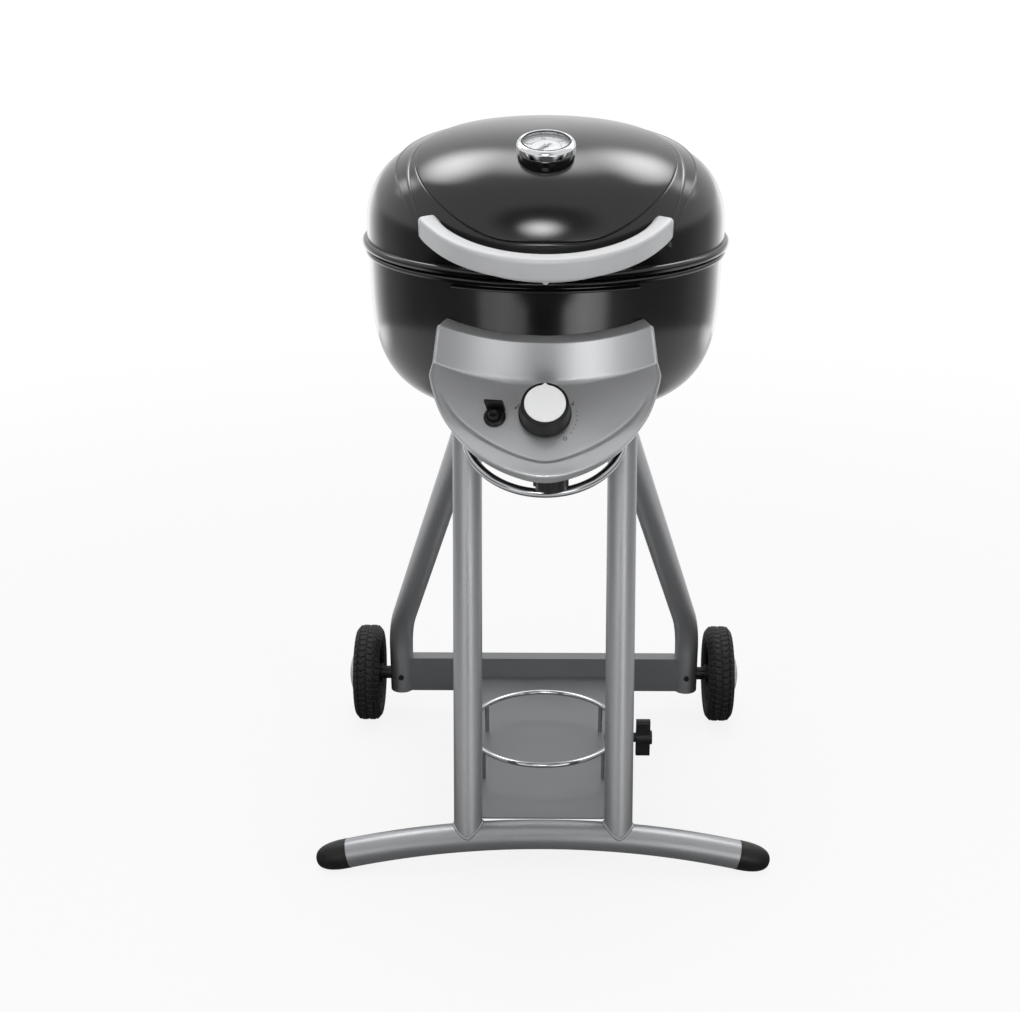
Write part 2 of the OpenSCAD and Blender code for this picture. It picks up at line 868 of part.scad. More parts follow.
module burner() {
    wall = 1.6;
    venturi_d = 24;
    bore_d = 20;
    bore_short = 4;
    leg_d = 9;
    leg_short = 4;
    ports = 24;
    port_d = 3;
    tube_len = -venturi_front_y - burner_r;
    color(enamel_black) placed()
        difference() {
            union() {
                translate([0, 0, venturi_z]) {
                    rotate_extrude() translate([burner_r, 0]) circle(r = burner_tube_r);
                    translate([0, venturi_front_y, 0])
                        rotate([-90, 0, 0]) cylinder(d = venturi_d, h = tube_len);
                }
                for (a = [45 : 90 : 315])
                    rotate([0, 0, a]) translate([burner_r, 0, bowl_bottom_z + bowl_t])
                        cylinder(d = leg_d, h = venturi_z - bowl_bottom_z - bowl_t - leg_short);
            }
            translate([0, 0, venturi_z]) {
                rotate_extrude() translate([burner_r, 0]) circle(r = burner_tube_r - wall);
                translate([0, venturi_front_y - 1, 0])
                    rotate([-90, 0, 0]) cylinder(d = bore_d, h = tube_len - bore_short);
                for (k = [0 : ports - 1])
                    rotate([0, 0, (k + 0.5) * 360 / ports])
                        translate([burner_r, 0, 0]) cylinder(d = port_d, h = 2 * burner_tube_r);
            }
        }
}

module igniter_electrode() {
    base_z = bowl_bottom_z + bowl_t;
    turn = 218;
    clear = 8;
    foot_size = [12, 6];
    ceramic_size = [7, 40];
    wire_size = [2.4, 58];
    tip_len = 12;
    color("white") placed() rotate([0, 0, turn]) translate([0, burner_r + burner_tube_r + clear, base_z]) {
        cylinder(d = foot_size[0], h = foot_size[1]);
        cylinder(d = ceramic_size[0], h = ceramic_size[1]);
        cylinder(d = wire_size[0], h = wire_size[1]);
        translate([0, 0, wire_size[1] - 1]) rotate([90, 0, 0]) cylinder(d = wire_size[0], h = tip_len);
    }
}

module grease_cup_hanger() {
    sheet = 2;
    strap_w = 16;
    strap_x = cup_rim_r + 1;
    tab_len = 18;
    ring_over = 3;
    color(silver_paint) placed() translate([0, cup_y, 0])
        difference() {
            union() {
                translate([0, 0, cup_rim_z - sheet]) cylinder(r = cup_rim_r + ring_over, h = sheet);
                for (s = [-1, 1]) side(s) {
                    translate([strap_x, -strap_w / 2, cup_rim_z - sheet])
                        cube([sheet, strap_w, bowl_bottom_z - cup_rim_z + sheet]);
                    translate([strap_x, -strap_w / 2, bowl_bottom_z - sheet]) cube([tab_len, strap_w, sheet]);
                }
            }
            cylinder(r = cup_r + 1, h = big);
        }
}

module grease_cup() {
    tall = 44;
    taper = 6;
    sheet = 1;
    color(chrome_grey) placed() translate([0, cup_y, cup_rim_z])
        rotate_extrude()
            polygon([
                [0, -tall], [cup_r - taper, -tall], [cup_r, 0], [cup_rim_r, 0], [cup_rim_r, sheet],
                [cup_r - sheet, sheet], [cup_r - taper - sheet, sheet - tall], [0, sheet - tall]
            ]);
}

// Hinge

module hinge_ear(points) {
    difference() {
        union() {
            polygon(points);
            translate([hinge_y, hinge_z]) circle(r = ear_r);
        }
        translate([hinge_y, hinge_z]) children();
    }
}

module upright_plate(x, t) {
    translate([x, 0, 0]) rotate([90, 0, 90]) linear_extrude(height = t) children();
}

module hinge_bracket() {
    root_y = bowl_r - 12;
    low_z = 850;
    root_h = 36;
    knee_y = 255;
    knee_up = 4;
    heel_in = 2;
    heel_up = 22;
    toe_out = 6;
    top_z = low_z + root_h;
    color(gloss_black) placed()
        difference() {
            union() {
                for (s = [-1, 1]) side(s)
                    upright_plate(bowl_ear_x, ear_t)
                        hinge_ear([
                            [root_y, low_z], [root_y, top_z], [knee_y, top_z + knee_up],
                            [hinge_y - ear_side, hinge_z + ear_up], [hinge_y + ear_side, hinge_z - ear_up],
                            [hinge_y - heel_in, low_z + heel_up], [bowl_r + toe_out, low_z]
                        ]) circle(d = hinge_pin_d + eps);
                translate([-bowl_ear_x - 1, root_y, low_z])
                    cube([2 * bowl_ear_x + 2, bowl_r + toe_out - 1 - root_y, root_h]);
            }
            bowl_form(-eps);
            translate([0, 0, low_z - 10]) cylinder(r = bowl_r + 0.1, h = root_h + 4, $fn = fine);
        }
}

module lid_hinge_arm() {
    root_y = lid_r - 22;
    low_z = lip_top_z + 2;
    root_h = 34;
    crown_out = 4;
    chin = [8, 5];
    throat = 14;
    color(gloss_black) placed()
        difference() {
            union() {
                for (s = [-1, 1]) side(s)
                    upright_plate(lid_ear_x, ear_t)
                        hinge_ear([
                            [root_y, low_z], [root_y, low_z + root_h], [lid_r + crown_out, low_z + root_h],
                            [hinge_y + ear_side, hinge_z + ear_up], [hinge_y - chin[0], hinge_z - chin[1]],
                            [hinge_y - throat, low_z]
                        ]) circle(d = hinge_pin_d + 2 * run_gap);
                translate([-lid_ear_x - 1, root_y, low_z])
                    cube([2 * lid_ear_x + 2, lid_r + crown_out - 1 - root_y, root_h]);
            }
            lid_form(-eps);
        }
}

module hinge_pin() {
    head_d = 13;
    head_h = 3;
    head_x = bowl_ear_x + ear_t + eps;
    half_len = bowl_ear_x + ear_t + head_h;
    color(chrome_grey) placed() translate([0, hinge_y, hinge_z]) {
        along_x(-half_len) cylinder(d = hinge_pin_d, h = 2 * half_len);
        for (s = [-1, 1]) side(s) along_x(head_x) cylinder(d = head_d, h = head_h);
    }
}

// Control panel and gas valve

module panel_line(low, high) {
    c = cos(seat_tilt);
    run = panel_tip_r - crease_r + 8;
    polygon([
        [crease_r - band_lean + low, panel_top_z], [crease_r + low, crease_z + crease_k * low],
        [crease_r + run + c * low, crease_z - run + c * low],
        [crease_r + run + c * high, crease_z - run + c * high],
        [crease_r + high, crease_z + crease_k * high], [crease_r - band_lean + high, panel_top_z]
    ]);
}

module shield(inset) {
    join_y = shield_bottom_y - (shield_bottom_r - inset) * cos(shield_turn);
    intersection() {
        translate([-shield_side_x, shield_side_y]) circle(r = shield_side_r - inset, $fn = fine);
        translate([shield_side_x, shield_side_y]) circle(r = shield_side_r - inset, $fn = fine);
        translate([-big / 2, join_y]) square(big);
    }
    intersection() {
        translate([0, shield_bottom_y]) circle(r = shield_bottom_r - inset, $fn = fine);
        translate([-big / 2, join_y - big + eps]) square(big);
    }
}

// Radius of the upper band's inner face
function panel_inner(z) = crease_r - panel_t - eps
    - band_lean * (z - crease_z + crease_k * panel_t) / (panel_top_z - crease_z + crease_k * panel_t);

// Strips outside the panel's slanted upper sides
module panel_side_trim(inset) {
    far = 300;
    over = 2;
    for (s = [-1, 1]) side(s)
        rotate([90, 0, 0])
            linear_extrude(height = big)
                polygon([
                    [shield_half - inset, crease_z], [panel_top_half - inset, panel_top_z + over],
                    [far, panel_top_z + over], [far, crease_z]
                ]);
}

module on_knob() {
    translate([0, -knob_r, knob_z]) rotate([seat_tilt, 0, 0]) children();
}

module on_igniter() {
    rotate([0, 0, -igniter_turn]) translate([0, -igniter_r, igniter_z]) rotate([seat_tilt, 0, 0]) children();
}

module shield_block(inset) {
    low_z = 600;
    tall = 400;
    translate([0, 0, low_z]) linear_extrude(height = tall) shield(inset);
}

module panel_zone(inset) {
    difference() {
        shield_block(inset);
        panel_side_trim(inset);
    }
}

// Face inside the raised border, which is wider along the bottom
module panel_field() {
    difference() {
        intersection() {
            shield_block(border_w);
            translate([0, border_drop, 0]) shield_block(border_w);
        }
        panel_side_trim(border_w);
    }
}

module control_panel() {
    half_angle = 45;
    bite = 0.5;
    ledge_in = 3.2;
    ledge_w = crease_r - bowl_r - 6;
    stem_hole_d = 12;
    color(panel_silver) placed()
        difference() {
            union() {
                intersection() {
                    front_sector(half_angle) {
                        panel_line(-panel_t, 0);
                        translate([bowl_r + ledge_in, panel_top_z - panel_t]) square([ledge_w, panel_t]);
                    }
                    panel_zone(0);
                }
                intersection() {
                    front_sector(half_angle) panel_line(-panel_t + bite, border_h);
                    difference() {
                        panel_zone(0);
                        panel_field();
                    }
                }
                intersection() {
                    front_sector(half_angle) panel_line(-skirt_depth, -panel_t + bite);
                    difference() {
                        panel_zone(0);
                        panel_zone(panel_t);
                    }
                }
            }
            on_knob() cylinder(d = stem_hole_d, h = 2 * cut_len, center = true);
            on_igniter() cylinder(d = housing_d + 0.2, h = 2 * cut_len, center = true);
        }
}

module panel_brackets() {
    low_z = 800;
    tall = 14;
    turn = 3;
    beside = 0.3;
    root_r = bowl_r - 8;
    color(silver_paint) placed()
        difference() {
            for (s = [-1, 1]) side(s)
                rotate([0, 0, front_panel_turn + beside - 90]) rotate_extrude(angle = turn, $fn = fine)
                    polygon([
                        [root_r, low_z], [panel_inner(low_z), low_z],
                        [panel_inner(low_z + tall), low_z + tall], [root_r, low_z + tall]
                    ]);
            bowl_form(-eps);
        }
}

module valve_body() {
    body_d = 28;
    body_low = -60;
    body_top = -5;
    flange_d = 40;
    flange_low = -8;
    flange_top = -3.2;
    outlet_d = 12;
    outlet_end = 228;
    inlet_d = 14;
    inlet_h = 42;
    stem_hole = 20;
    outlet_y = outlet_s * cos(seat_tilt) - knob_r;
    color(brass_yellow) placed()
        difference() {
            union() {
                on_knob() {
                    translate([0, 0, body_low]) cylinder(d = body_d, h = body_top - body_low);
                    translate([0, 0, flange_low]) cylinder(d = flange_d, h = flange_top - flange_low);
                }
                translate([0, outlet_y, venturi_z])
                    rotate([-90, 0, 0]) cylinder(d = outlet_d, h = -outlet_y - outlet_end);
                translate([inlet_x, inlet_y, coupling_top_z]) cylinder(d = inlet_d, h = inlet_h);
            }
            on_knob() {
                translate([0, 0, plug_low - 0.5]) cylinder(d = plug_d + 2 * run_gap, h = plug_room);
                translate([0, 0, -stem_hole]) cylinder(d = stem_d + 2 * run_gap, h = cut_len);
            }
        }
}

module valve_plug() {
    plug_h = 27;
    socket = 13.5;
    color(brass_yellow) placed() on_knob() translate([0, 0, plug_low])
        difference() {
            cylinder(d = plug_d, h = plug_h);
            translate([0, 0, socket]) cylinder(d = stem_d + 2 * run_gap, h = plug_h);
        }
}

module valve_stem() {
    sunk = 30;
    in_knob = 18;
    color(chrome_grey) placed() on_knob()
        translate([0, 0, -sunk]) cylinder(d = stem_d, h = sunk + knob_gap + in_knob);
}

module control_knob() {
    r = knob_d / 2;
    skirt_h = 3;
    draft = 2;
    edge = [2, 3];
    socket = 18;
    color(matt_black) placed() on_knob() translate([0, 0, knob_gap])
        difference() {
            rotate_extrude()
                polygon([
                    [0, 0], [r, 0], [r, skirt_h], [r - draft, knob_h - edge[1]],
                    [r - draft - edge[0], knob_h], [0, knob_h]
                ]);
            translate([0, 0, knob_h - disc_sunk]) knob_disc(2 * disc_sunk);
            translate([0, 0, -1]) cylinder(d = stem_d, h = socket + 1);
        }
}

module knob_disc(h) {
    disc_r = 26;
    tip_r = 28.6;
    tip_half = 4;
    linear_extrude(height = h) circle(r = disc_r);
    linear_extrude(height = h) polygon([[-tip_half, disc_r - 3], [0, tip_r], [tip_half, disc_r - 3]]);
}

module knob_face() {
    thick = 1.8;
    color("white") placed() on_knob() translate([0, 0, knob_gap + knob_h - disc_sunk]) knob_disc(thick);
}

module gas_inlet_coupling() {
    lobes = 8;
    lobe_d = 8;
    lobe_low = 4;
    lobe_short = 10;
    nut_r = 20;
    roof = 6;
    color(matt_black) placed() translate([inlet_x, inlet_y, coupling_top_z - coupling_h])
        difference() {
            union() {
                cylinder(r = nut_r, h = coupling_h);
                for (k = [0 : lobes - 1])
                    rotate([0, 0, k * 360 / lobes])
                        translate([nut_r - 1, 0, lobe_low]) cylinder(d = lobe_d, h = coupling_h - lobe_short);
            }
            translate([0, 0, -1]) cylinder(r = coupling_bore_r, h = coupling_h - roof + 1);
        }
}

module igniter_housing() {
    depth = 32;
    collar_d = 28;
    collar_h = 5;
    guard = [23.5, 4, 23];
    guard_back = 9;
    color(matt_black) placed() on_igniter()
        difference() {
            union() {
                translate([0, 0, -depth]) cylinder(d = housing_d, h = depth + 1);
                cylinder(d = collar_d, h = collar_h);
                translate([-guard[0] / 2, guard_back, 0]) cube(guard);
            }
            translate([0, 0, -button_root - button_push - 1]) cylinder(r = button_r + run_gap, h = cut_len);
        }
}

module igniter_button() {
    edge = 2.5;
    top = 12;
    color(matt_black) placed() on_igniter()
        rotate_extrude() {
            translate([0, -button_root]) square([button_r, button_root + top - edge]);
            translate([0, top - edge - 1]) square([button_r - edge, edge + 1]);
            translate([button_r - edge, top - edge]) intersection() {
                circle(r = edge);
                square(edge);
            }
        }
}

// Lid

module dome(inset, h) {
    outline = quarter(lid_r - inset, h - inset, dome_p, dome_q, outline_steps);
    translate([0, 0, lip_top_z])
        rotate_extrude($fn = fine) polygon(concat([[0, 0]], outline));
}

// Base dome with the two steps cut by upright cylinders
module lid_form(inset) {
    tall = 300;
    dome(inset, dome_h - 2 * step_h);
    intersection() {
        dome(inset, dome_h - step_h);
        translate([0, -terrace_back, terrace_from]) cylinder(r = terrace_r - inset, h = tall, $fn = fine);
    }
    intersection() {
        dome(inset, dome_h);
        translate([0, -panel_back, terrace_from]) cylinder(r = panel_r - inset, h = tall, $fn = fine);
    }
    translate([0, 0, rim_z - 1]) cylinder(r = lid_r - inset, h = lip_h + 1 + eps, $fn = fine);
}

module lid_lip() {
    lip_in = lid_r - lid_t;
    half = lip_h / 2;
    translate([0, 0, rim_z])
        rotate_extrude($fn = fine) {
            translate([lip_in, 0]) square([lip_r - half - lip_in, lip_h]);
            translate([lip_r - half, half]) circle(r = half);
        }
}

module at_handle_ends() {
    for (s = [-1, 1]) side(s)
        rotate([0, 0, handle_turn - 90])
            translate([lid_r, 0, handle_end_z]) rotate([0, -90, 0]) children();
}

module on_gauge() {
    translate([0, -gauge_out, gauge_z]) rotate([gauge_tilt, 0, 0]) children();
}

module lid_shell() {
    hole_d = bolt_d + 0.2;
    color(gloss_black) placed()
        difference() {
            union() {
                difference() {
                    lid_form(0);
                    translate([-big / 2, -big / 2, rim_z - big]) cube(big);
                }
                lid_lip();
            }
            lid_form(lid_t);
            on_gauge() cylinder(d = hole_d, h = cut_len, center = true);
            at_handle_ends() cylinder(d = hole_d, h = cut_len, center = true);
        }
}

module handle_sweep() {
    translate([0, -handle_reach + handle_r * cos(handle_tilt), handle_front_z + handle_r * sin(handle_tilt)])
        rotate([handle_tilt, 0, 0])
            rotate([0, 0, -90 - handle_span])
                rotate_extrude(angle = 2 * handle_span, $fn = fine)
                    translate([handle_r, 0]) children();
}

module lid_handle() {
    bar_r = 5;
    pad_size = [28, 26];
    pad_r = 6;
    pad_out = 14;
    pad_in = 6;
    hole_out = 10;
    color(handle_silver) placed()
        difference() {
            union() {
                handle_sweep() rounded_rect(handle_depth, handle_tall, bar_r);
                at_handle_ends() translate([0, 0, -pad_out])
                    linear_extrude(height = pad_out + pad_in) rounded_rect(pad_size[0], pad_size[1], pad_r);
            }
            lid_form(-eps);
            lid_lip();
            at_handle_ends() translate([0, 0, -hole_out]) cylinder(d = bolt_d, h = cut_len);
        }
}

module handle_screws() {
    hole_out = 10;
    shank = 18;
    head_in = 6.2;
    head_d = 12;
    head_h = 4;
    color(chrome_grey) placed() at_handle_ends() {
        translate([0, 0, -hole_out]) cylinder(d = bolt_d, h = shank);
        translate([0, 0, head_in]) cylinder(d = head_d, h = head_h);
    }
}

// Thermometer

module thermometer_case() {
    r = gauge_d / 2;
    root = 6;
    neck_in = 4;
    neck_top = 4;
    belly = [8, 11, 14];
    bezel_top = 18;
    bezel_w = 2;
    bezel_t = 1.5;
    stem_sunk = 8;
    color(chrome_grey) placed()
        difference() {
            on_gauge()
                rotate_extrude()
                    polygon([
                        [0, -root], [r - neck_in, -root], [r - neck_in, neck_top], [r - 1, belly[0]],
                        [r, belly[1]],
                        [r - 1, belly[2]], [r - neck_in, bezel_top - 1], [r - neck_in - bezel_w, bezel_top],
                        [r - neck_in - 2 * bezel_w, bezel_top],
                        [r - neck_in - 2 * bezel_w, bezel_top - bezel_t],
                        [dial_r + 0.1, bezel_top - bezel_t], [dial_r + 0.1, dial_z], [0, dial_z]
                    ]);
            lid_form(-eps);
            on_gauge() translate([0, 0, -stem_sunk]) cylinder(d = bolt_d + eps, h = stem_sunk);
        }
}

module thermometer_dial() {
    sheet = 1;
    post_h = 4;
    color("white") placed() on_gauge() translate([0, 0, dial_z]) {
        cylinder(r = dial_r, h = sheet);
        cylinder(d = needle_post_d, h = post_h);
    }
}

module thermometer_needle() {
    reach = 23;
    hub_d = 8;
    tail = 8;
    tail_half = 1.6;
    tip_half = 0.5;
    rest_turn = 135;
    color(silver_paint) placed() on_gauge() translate([0, 0, needle_z]) rotate([0, 0, rest_turn])
        linear_extrude(height = 1)
            difference() {
                union() {
                    circle(d = hub_d);
                    polygon([[-tail_half, -tail], [tail_half, -tail], [tip_half, reach], [-tip_half, reach]]);
                }
                circle(d = needle_post_d + 2 * run_gap);
            }
}

module thermometer_glass() {
    thick = 1.5;
    color([0.9, 0.95, 1, 0.3]) placed() on_gauge() translate([0, 0, glass_z]) cylinder(r = dial_r, h = thick);
}

module thermometer_stem() {
    probe = 75;
    nut_d = 14;
    nut_h = 5;
    nut_low = 7.2;
    sides = 6;
    color(chrome_grey) placed() on_gauge() {
        translate([0, 0, -probe]) cylinder(d = bolt_d, h = probe);
        translate([0, 0, -nut_low]) cylinder(d = nut_d, h = nut_h, $fn = sides);
    }
}

foot_tube();
foot_cap_left();
foot_cap_right();
front_leg_left();
front_leg_right();
rear_leg_left();
rear_leg_right();
rear_crossbar();
bottom_shelf();
shelf_screws();
cylinder_ring();
clamp_bracket();
clamp_pad();
clamp_screw();
clamp_knob();
axle_left();
axle_right();
axle_spacers();
axle_screws();
tyre_left();
tyre_right();
wheel_hub_left();
wheel_hub_right();
hubcap_left();
hubcap_right();
towel_rail();
bowl_support_plate();
bowl_bolts();
bowl();
bowl_front_panel();
burner();
igniter_electrode();
grate_supports();
heat_emitter();
cooking_grate();
grease_cup();
grease_cup_hanger();
hinge_bracket();
hinge_pin();
control_panel();
panel_brackets();
valve_body();
valve_plug();
valve_stem();
control_knob();
knob_face();
gas_inlet_coupling();
igniter_housing();
igniter_button();
lid_shell();
lid_hinge_arm();
lid_handle();
handle_screws();
thermometer_case();
thermometer_dial();
thermometer_needle();
thermometer_glass();
thermometer_stem();
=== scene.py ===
import bisect
import json
from math import acos, asin, atan2, cos, degrees, dist, exp, hypot, pi, radians, sin, sqrt, tan

import bmesh
import bpy
from mathutils import Matrix, Vector
from mathutils.geometry import delaunay_2d_cdt
from mathutils.kdtree import KDTree

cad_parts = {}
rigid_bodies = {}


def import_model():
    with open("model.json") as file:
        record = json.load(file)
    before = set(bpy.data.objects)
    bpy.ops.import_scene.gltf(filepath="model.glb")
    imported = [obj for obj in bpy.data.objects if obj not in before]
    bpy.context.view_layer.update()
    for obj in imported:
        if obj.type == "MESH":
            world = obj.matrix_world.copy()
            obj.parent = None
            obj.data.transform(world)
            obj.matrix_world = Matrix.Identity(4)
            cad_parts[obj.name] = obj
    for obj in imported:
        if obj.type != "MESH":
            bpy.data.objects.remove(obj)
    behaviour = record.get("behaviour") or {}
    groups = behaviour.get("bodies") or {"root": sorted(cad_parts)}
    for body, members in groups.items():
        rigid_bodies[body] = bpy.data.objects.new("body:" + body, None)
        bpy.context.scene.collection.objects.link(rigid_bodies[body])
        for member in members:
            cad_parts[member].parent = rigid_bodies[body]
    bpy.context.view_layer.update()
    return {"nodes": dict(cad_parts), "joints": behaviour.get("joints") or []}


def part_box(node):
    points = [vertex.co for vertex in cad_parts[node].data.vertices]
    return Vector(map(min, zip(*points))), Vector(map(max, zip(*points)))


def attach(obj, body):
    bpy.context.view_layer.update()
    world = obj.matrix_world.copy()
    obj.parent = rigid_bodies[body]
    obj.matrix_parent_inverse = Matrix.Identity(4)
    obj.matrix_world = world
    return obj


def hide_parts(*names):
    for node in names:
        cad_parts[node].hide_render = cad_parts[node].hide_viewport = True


for leftover in list(bpy.data.objects):
    bpy.data.objects.remove(leftover)  # Blender's start-up cube, lamp and camera

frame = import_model()
nodes = frame["nodes"]
joints = {joint["name"]: joint for joint in frame["joints"]}
scene = bpy.context.scene

mm = 0.001
bowlLow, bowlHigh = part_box("bowl")
bowlAxis = Vector((0, (bowlLow.y + bowlHigh.y) / 2, 0))  # the upright line that the round pieces share
bowlPlace = Matrix.Translation(bowlAxis) @ Matrix.Scale(mm, 4)


# small tools for shapes; a shape is a list of points and a list of faces

def smooth(t):
    t = min(1.0, max(0.0, t))
    return t * t * (3 - 2 * t)


def mix(a, b, t):
    return a + (b - a) * t


def pick(values, *keys):
    return [values[key] for key in keys]


def circle(count, radius=1.0):
    return [(radius * cos(2 * pi * k / count), radius * sin(2 * pi * k / count)) for k in range(count)]


def arcLine(x, y, radius, fromTurn, toTurn, steps):
    turns = [radians(mix(fromTurn, toTurn, k / steps)) for k in range(steps + 1)]
    return [(x + radius * cos(a), y + radius * sin(a)) for a in turns]


def superRound(turn, radius, tall, squareness):  # a quarter of a squared circle, from its side to its top
    plan, side = 2 / squareness["roundPlan"], 2 / squareness["roundSide"]
    return radius * cos(turn) ** plan, tall * sin(turn) ** side


def strip(low, high):  # faces between two rings of point numbers
    count = len(low)
    return [[low[k], low[(k + 1) % count], high[(k + 1) % count], high[k]] for k in range(count)]


def fan(ring, middle):
    return [[ring[k], ring[(k + 1) % len(ring)], middle] for k in range(len(ring))]


def seatPlace(origin, outward, up=(0, 0, 1)):
    zDir = Vector(outward).normalized()
    xDir = Vector(up).cross(zDir).normalized()
    turn = Matrix((xDir, zDir.cross(xDir), zDir)).transposed().to_4x4()
    return Matrix.Translation(origin) @ turn @ Matrix.Scale(mm, 4)


def lathe(profile, turns=128, fromAngle=0.0, toAngle=360.0, closed=False):
    whole = toAngle - fromAngle > 359.9
    columns = turns if whole else turns + 1
    points, rings, faces = [], [], []
    for r, z in profile:
        if r < 1e-6:  # a point on the axis is shared by the whole ring
            rings.append([len(points)] * columns)
            points.append((0, 0, z))
            continue
        rings.append(list(range(len(points), len(points) + columns)))
        for k in range(columns):
            a = radians(mix(fromAngle, toAngle, k / turns))
            points.append((r * cos(a), r * sin(a), z))
    if closed:
        rings.append(rings[0])
    for low, high in zip(rings, rings[1:]):
        for k in range(turns):
            n = (k + 1) % columns
            face = list(dict.fromkeys((low[k], low[n], high[n], high[k])))
            if len(face) > 2:
                faces.append(face)
    if closed and not whole:
        faces.append([ring[0] for ring in rings[:-1]])
        faces.append([ring[-1] for ring in rings[:-1]])
    return points, faces


def softLine(corners, radius, steps=5, closed=False):  # rounds a line's corners
    radii = radius if isinstance(radius, (list, tuple)) else [radius] * len(corners)
    most = 0.48  # a corner takes at most this share of each side
    line = []
    for k, corner in enumerate(corners):
        here = Vector(corner)
        if not closed and k in (0, len(corners) - 1) or radii[k] == 0:
            line.append(tuple(here))
            continue
        toLast = Vector(corners[k - 1]) - here
        toNext = Vector(corners[(k + 1) % len(corners)]) - here
        half = toLast.angle(toNext) / 2
        back = min(radii[k] / tan(half), most * toLast.length, most * toNext.length)
        start = here + toLast.normalized() * back
        end = here + toNext.normalized() * back
        for s in range(steps + 1):
            t = s / steps
            line.append(tuple(start * (1 - t) ** 2 + here * (2 * t * (1 - t)) + end * t ** 2))
    return line


def roundedRect(wide, tall, radius, steps=5):
    x, y = wide / 2, tall / 2
    return softLine([(-x, -y), (x, -y), (x, y), (-x, y)], radius, steps, closed=True)


def loft(rings, around=False):
    count = len(rings[0])
    points = [p for ring in rings for p in ring]
    rows = [list(range(i * count, (i + 1) * count)) for i in range(len(rings))]
    after = rows[1:] + rows[:1] if around else rows[1:]
    faces = [face for low, high in zip(rows, after) for face in strip(low, high)]
    return points, faces if around else faces + [rows[0], rows[-1]]


def joined(*shapes):
    points, faces = [], []
    for shapePoints, shapeFaces in shapes:
        base = len(points)
        points += shapePoints
        faces += [[base + k for k in face] for face in shapeFaces]
    return points, faces


def moved(shape, matrix):
    return [tuple(matrix @ Vector(p)) for p in shape[0]], shape[1]


def nearTree(spots):
    tree = KDTree(len(spots))
    for k, (u, v) in enumerate(spots):
        tree.insert((u, v, 0), k)
    tree.balance()
    return tree


def show(thing):
    scene.collection.objects.link(thing)


def makePiece(name, shape, body, finish, stands=(), place=bowlPlace, sharp=38, normals=None):
    mesh = bpy.data.meshes.new(name)
    mesh.from_pydata([place @ Vector(p) for p in shape[0]], [], shape[1])
    work = bmesh.new()
    work.from_mesh(mesh)
    bmesh.ops.recalc_face_normals(work, faces=work.faces)
    work.to_mesh(mesh)
    work.free()
    mesh.shade_smooth()
    if normals:
        own = [Vector(n.vector) for n in mesh.vertex_normals]
        for k, normal in normals.items():
            own[k] = normal
        mesh.normals_split_custom_set_from_vertices(own)
    else:
        mesh.set_sharp_from_angle(angle=radians(sharp))
    mesh.materials.append(finishes[finish])
    piece = bpy.data.objects.new(name, mesh)
    show(piece)
    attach(piece, body)
    if stands:
        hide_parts(*stands)
    return piece


# finishes: colour and gloss drift in broad patches and a fine grain, and a fine bump gives the skin

def setInputs(node, inputs):  # an input takes a value, an output, or a node for its first output
    for key, value in inputs.items():
        if isinstance(value, bpy.types.Node):
            value = value.outputs[0]
        if isinstance(value, bpy.types.NodeSocket):
            node.id_data.links.new(value, node.inputs[key])
        else:
            node.inputs[key].default_value = value


def newNode(tree, kind, inputs=None, **settings):
    node = tree.nodes.new("ShaderNode" + kind)
    for key, value in settings.items():
        setattr(node, key, value)
    setInputs(node, inputs or {})
    return node


def surface(name, colour, rough, metal, drift, patch, grain, roughDrift, bump=0.0, bumpScale=0, flake=0.0):
    finish = bpy.data.materials.new(name)
    finish.use_nodes = True
    tree = finish.node_tree
    where = newNode(tree, "TexCoord").outputs["Object"]
    broad = newNode(tree, "TexNoise", {"Vector": where, "Scale": patch, "Detail": 3.0})
    fine = newNode(tree, "TexNoise", {"Vector": where, "Scale": grain, "Detail": 4.0})
    both = newNode(tree, "Mix", {"Factor": 0.5 + flake, "A": broad, "B": fine}, data_type="FLOAT")
    shade = newNode(tree, "ValToRGB", {"Fac": both})
    low, high = shade.color_ramp.elements
    low.position, high.position = noiseFrom, noiseTo
    low.color = [c * (1 - drift) for c in colour] + [1]
    high.color = [min(1, c * (1 + drift)) for c in colour] + [1]
    gloss = newNode(tree, "MapRange", {"Value": broad, "From Min": noiseFrom, "From Max": noiseTo,
                                       "To Min": max(0.02, rough - roughDrift), "To Max": rough + roughDrift})
    inputs = {"Metallic": metal, "Base Color": shade, "Roughness": gloss}
    if bump:
        skin = newNode(tree, "TexNoise", {"Vector": where, "Scale": bumpScale, "Detail": 2.0})
        inputs["Normal"] = newNode(tree, "Bump", {"Height": skin, "Strength": 1.0, "Distance": bump * mm})
    setInputs(tree.nodes["Principled BSDF"], {**inputs, **finishExtra.get(name, {})})
    return finish


noiseFrom, noiseTo = 0.3, 0.7  # the part of a noise that is stretched over the whole drift

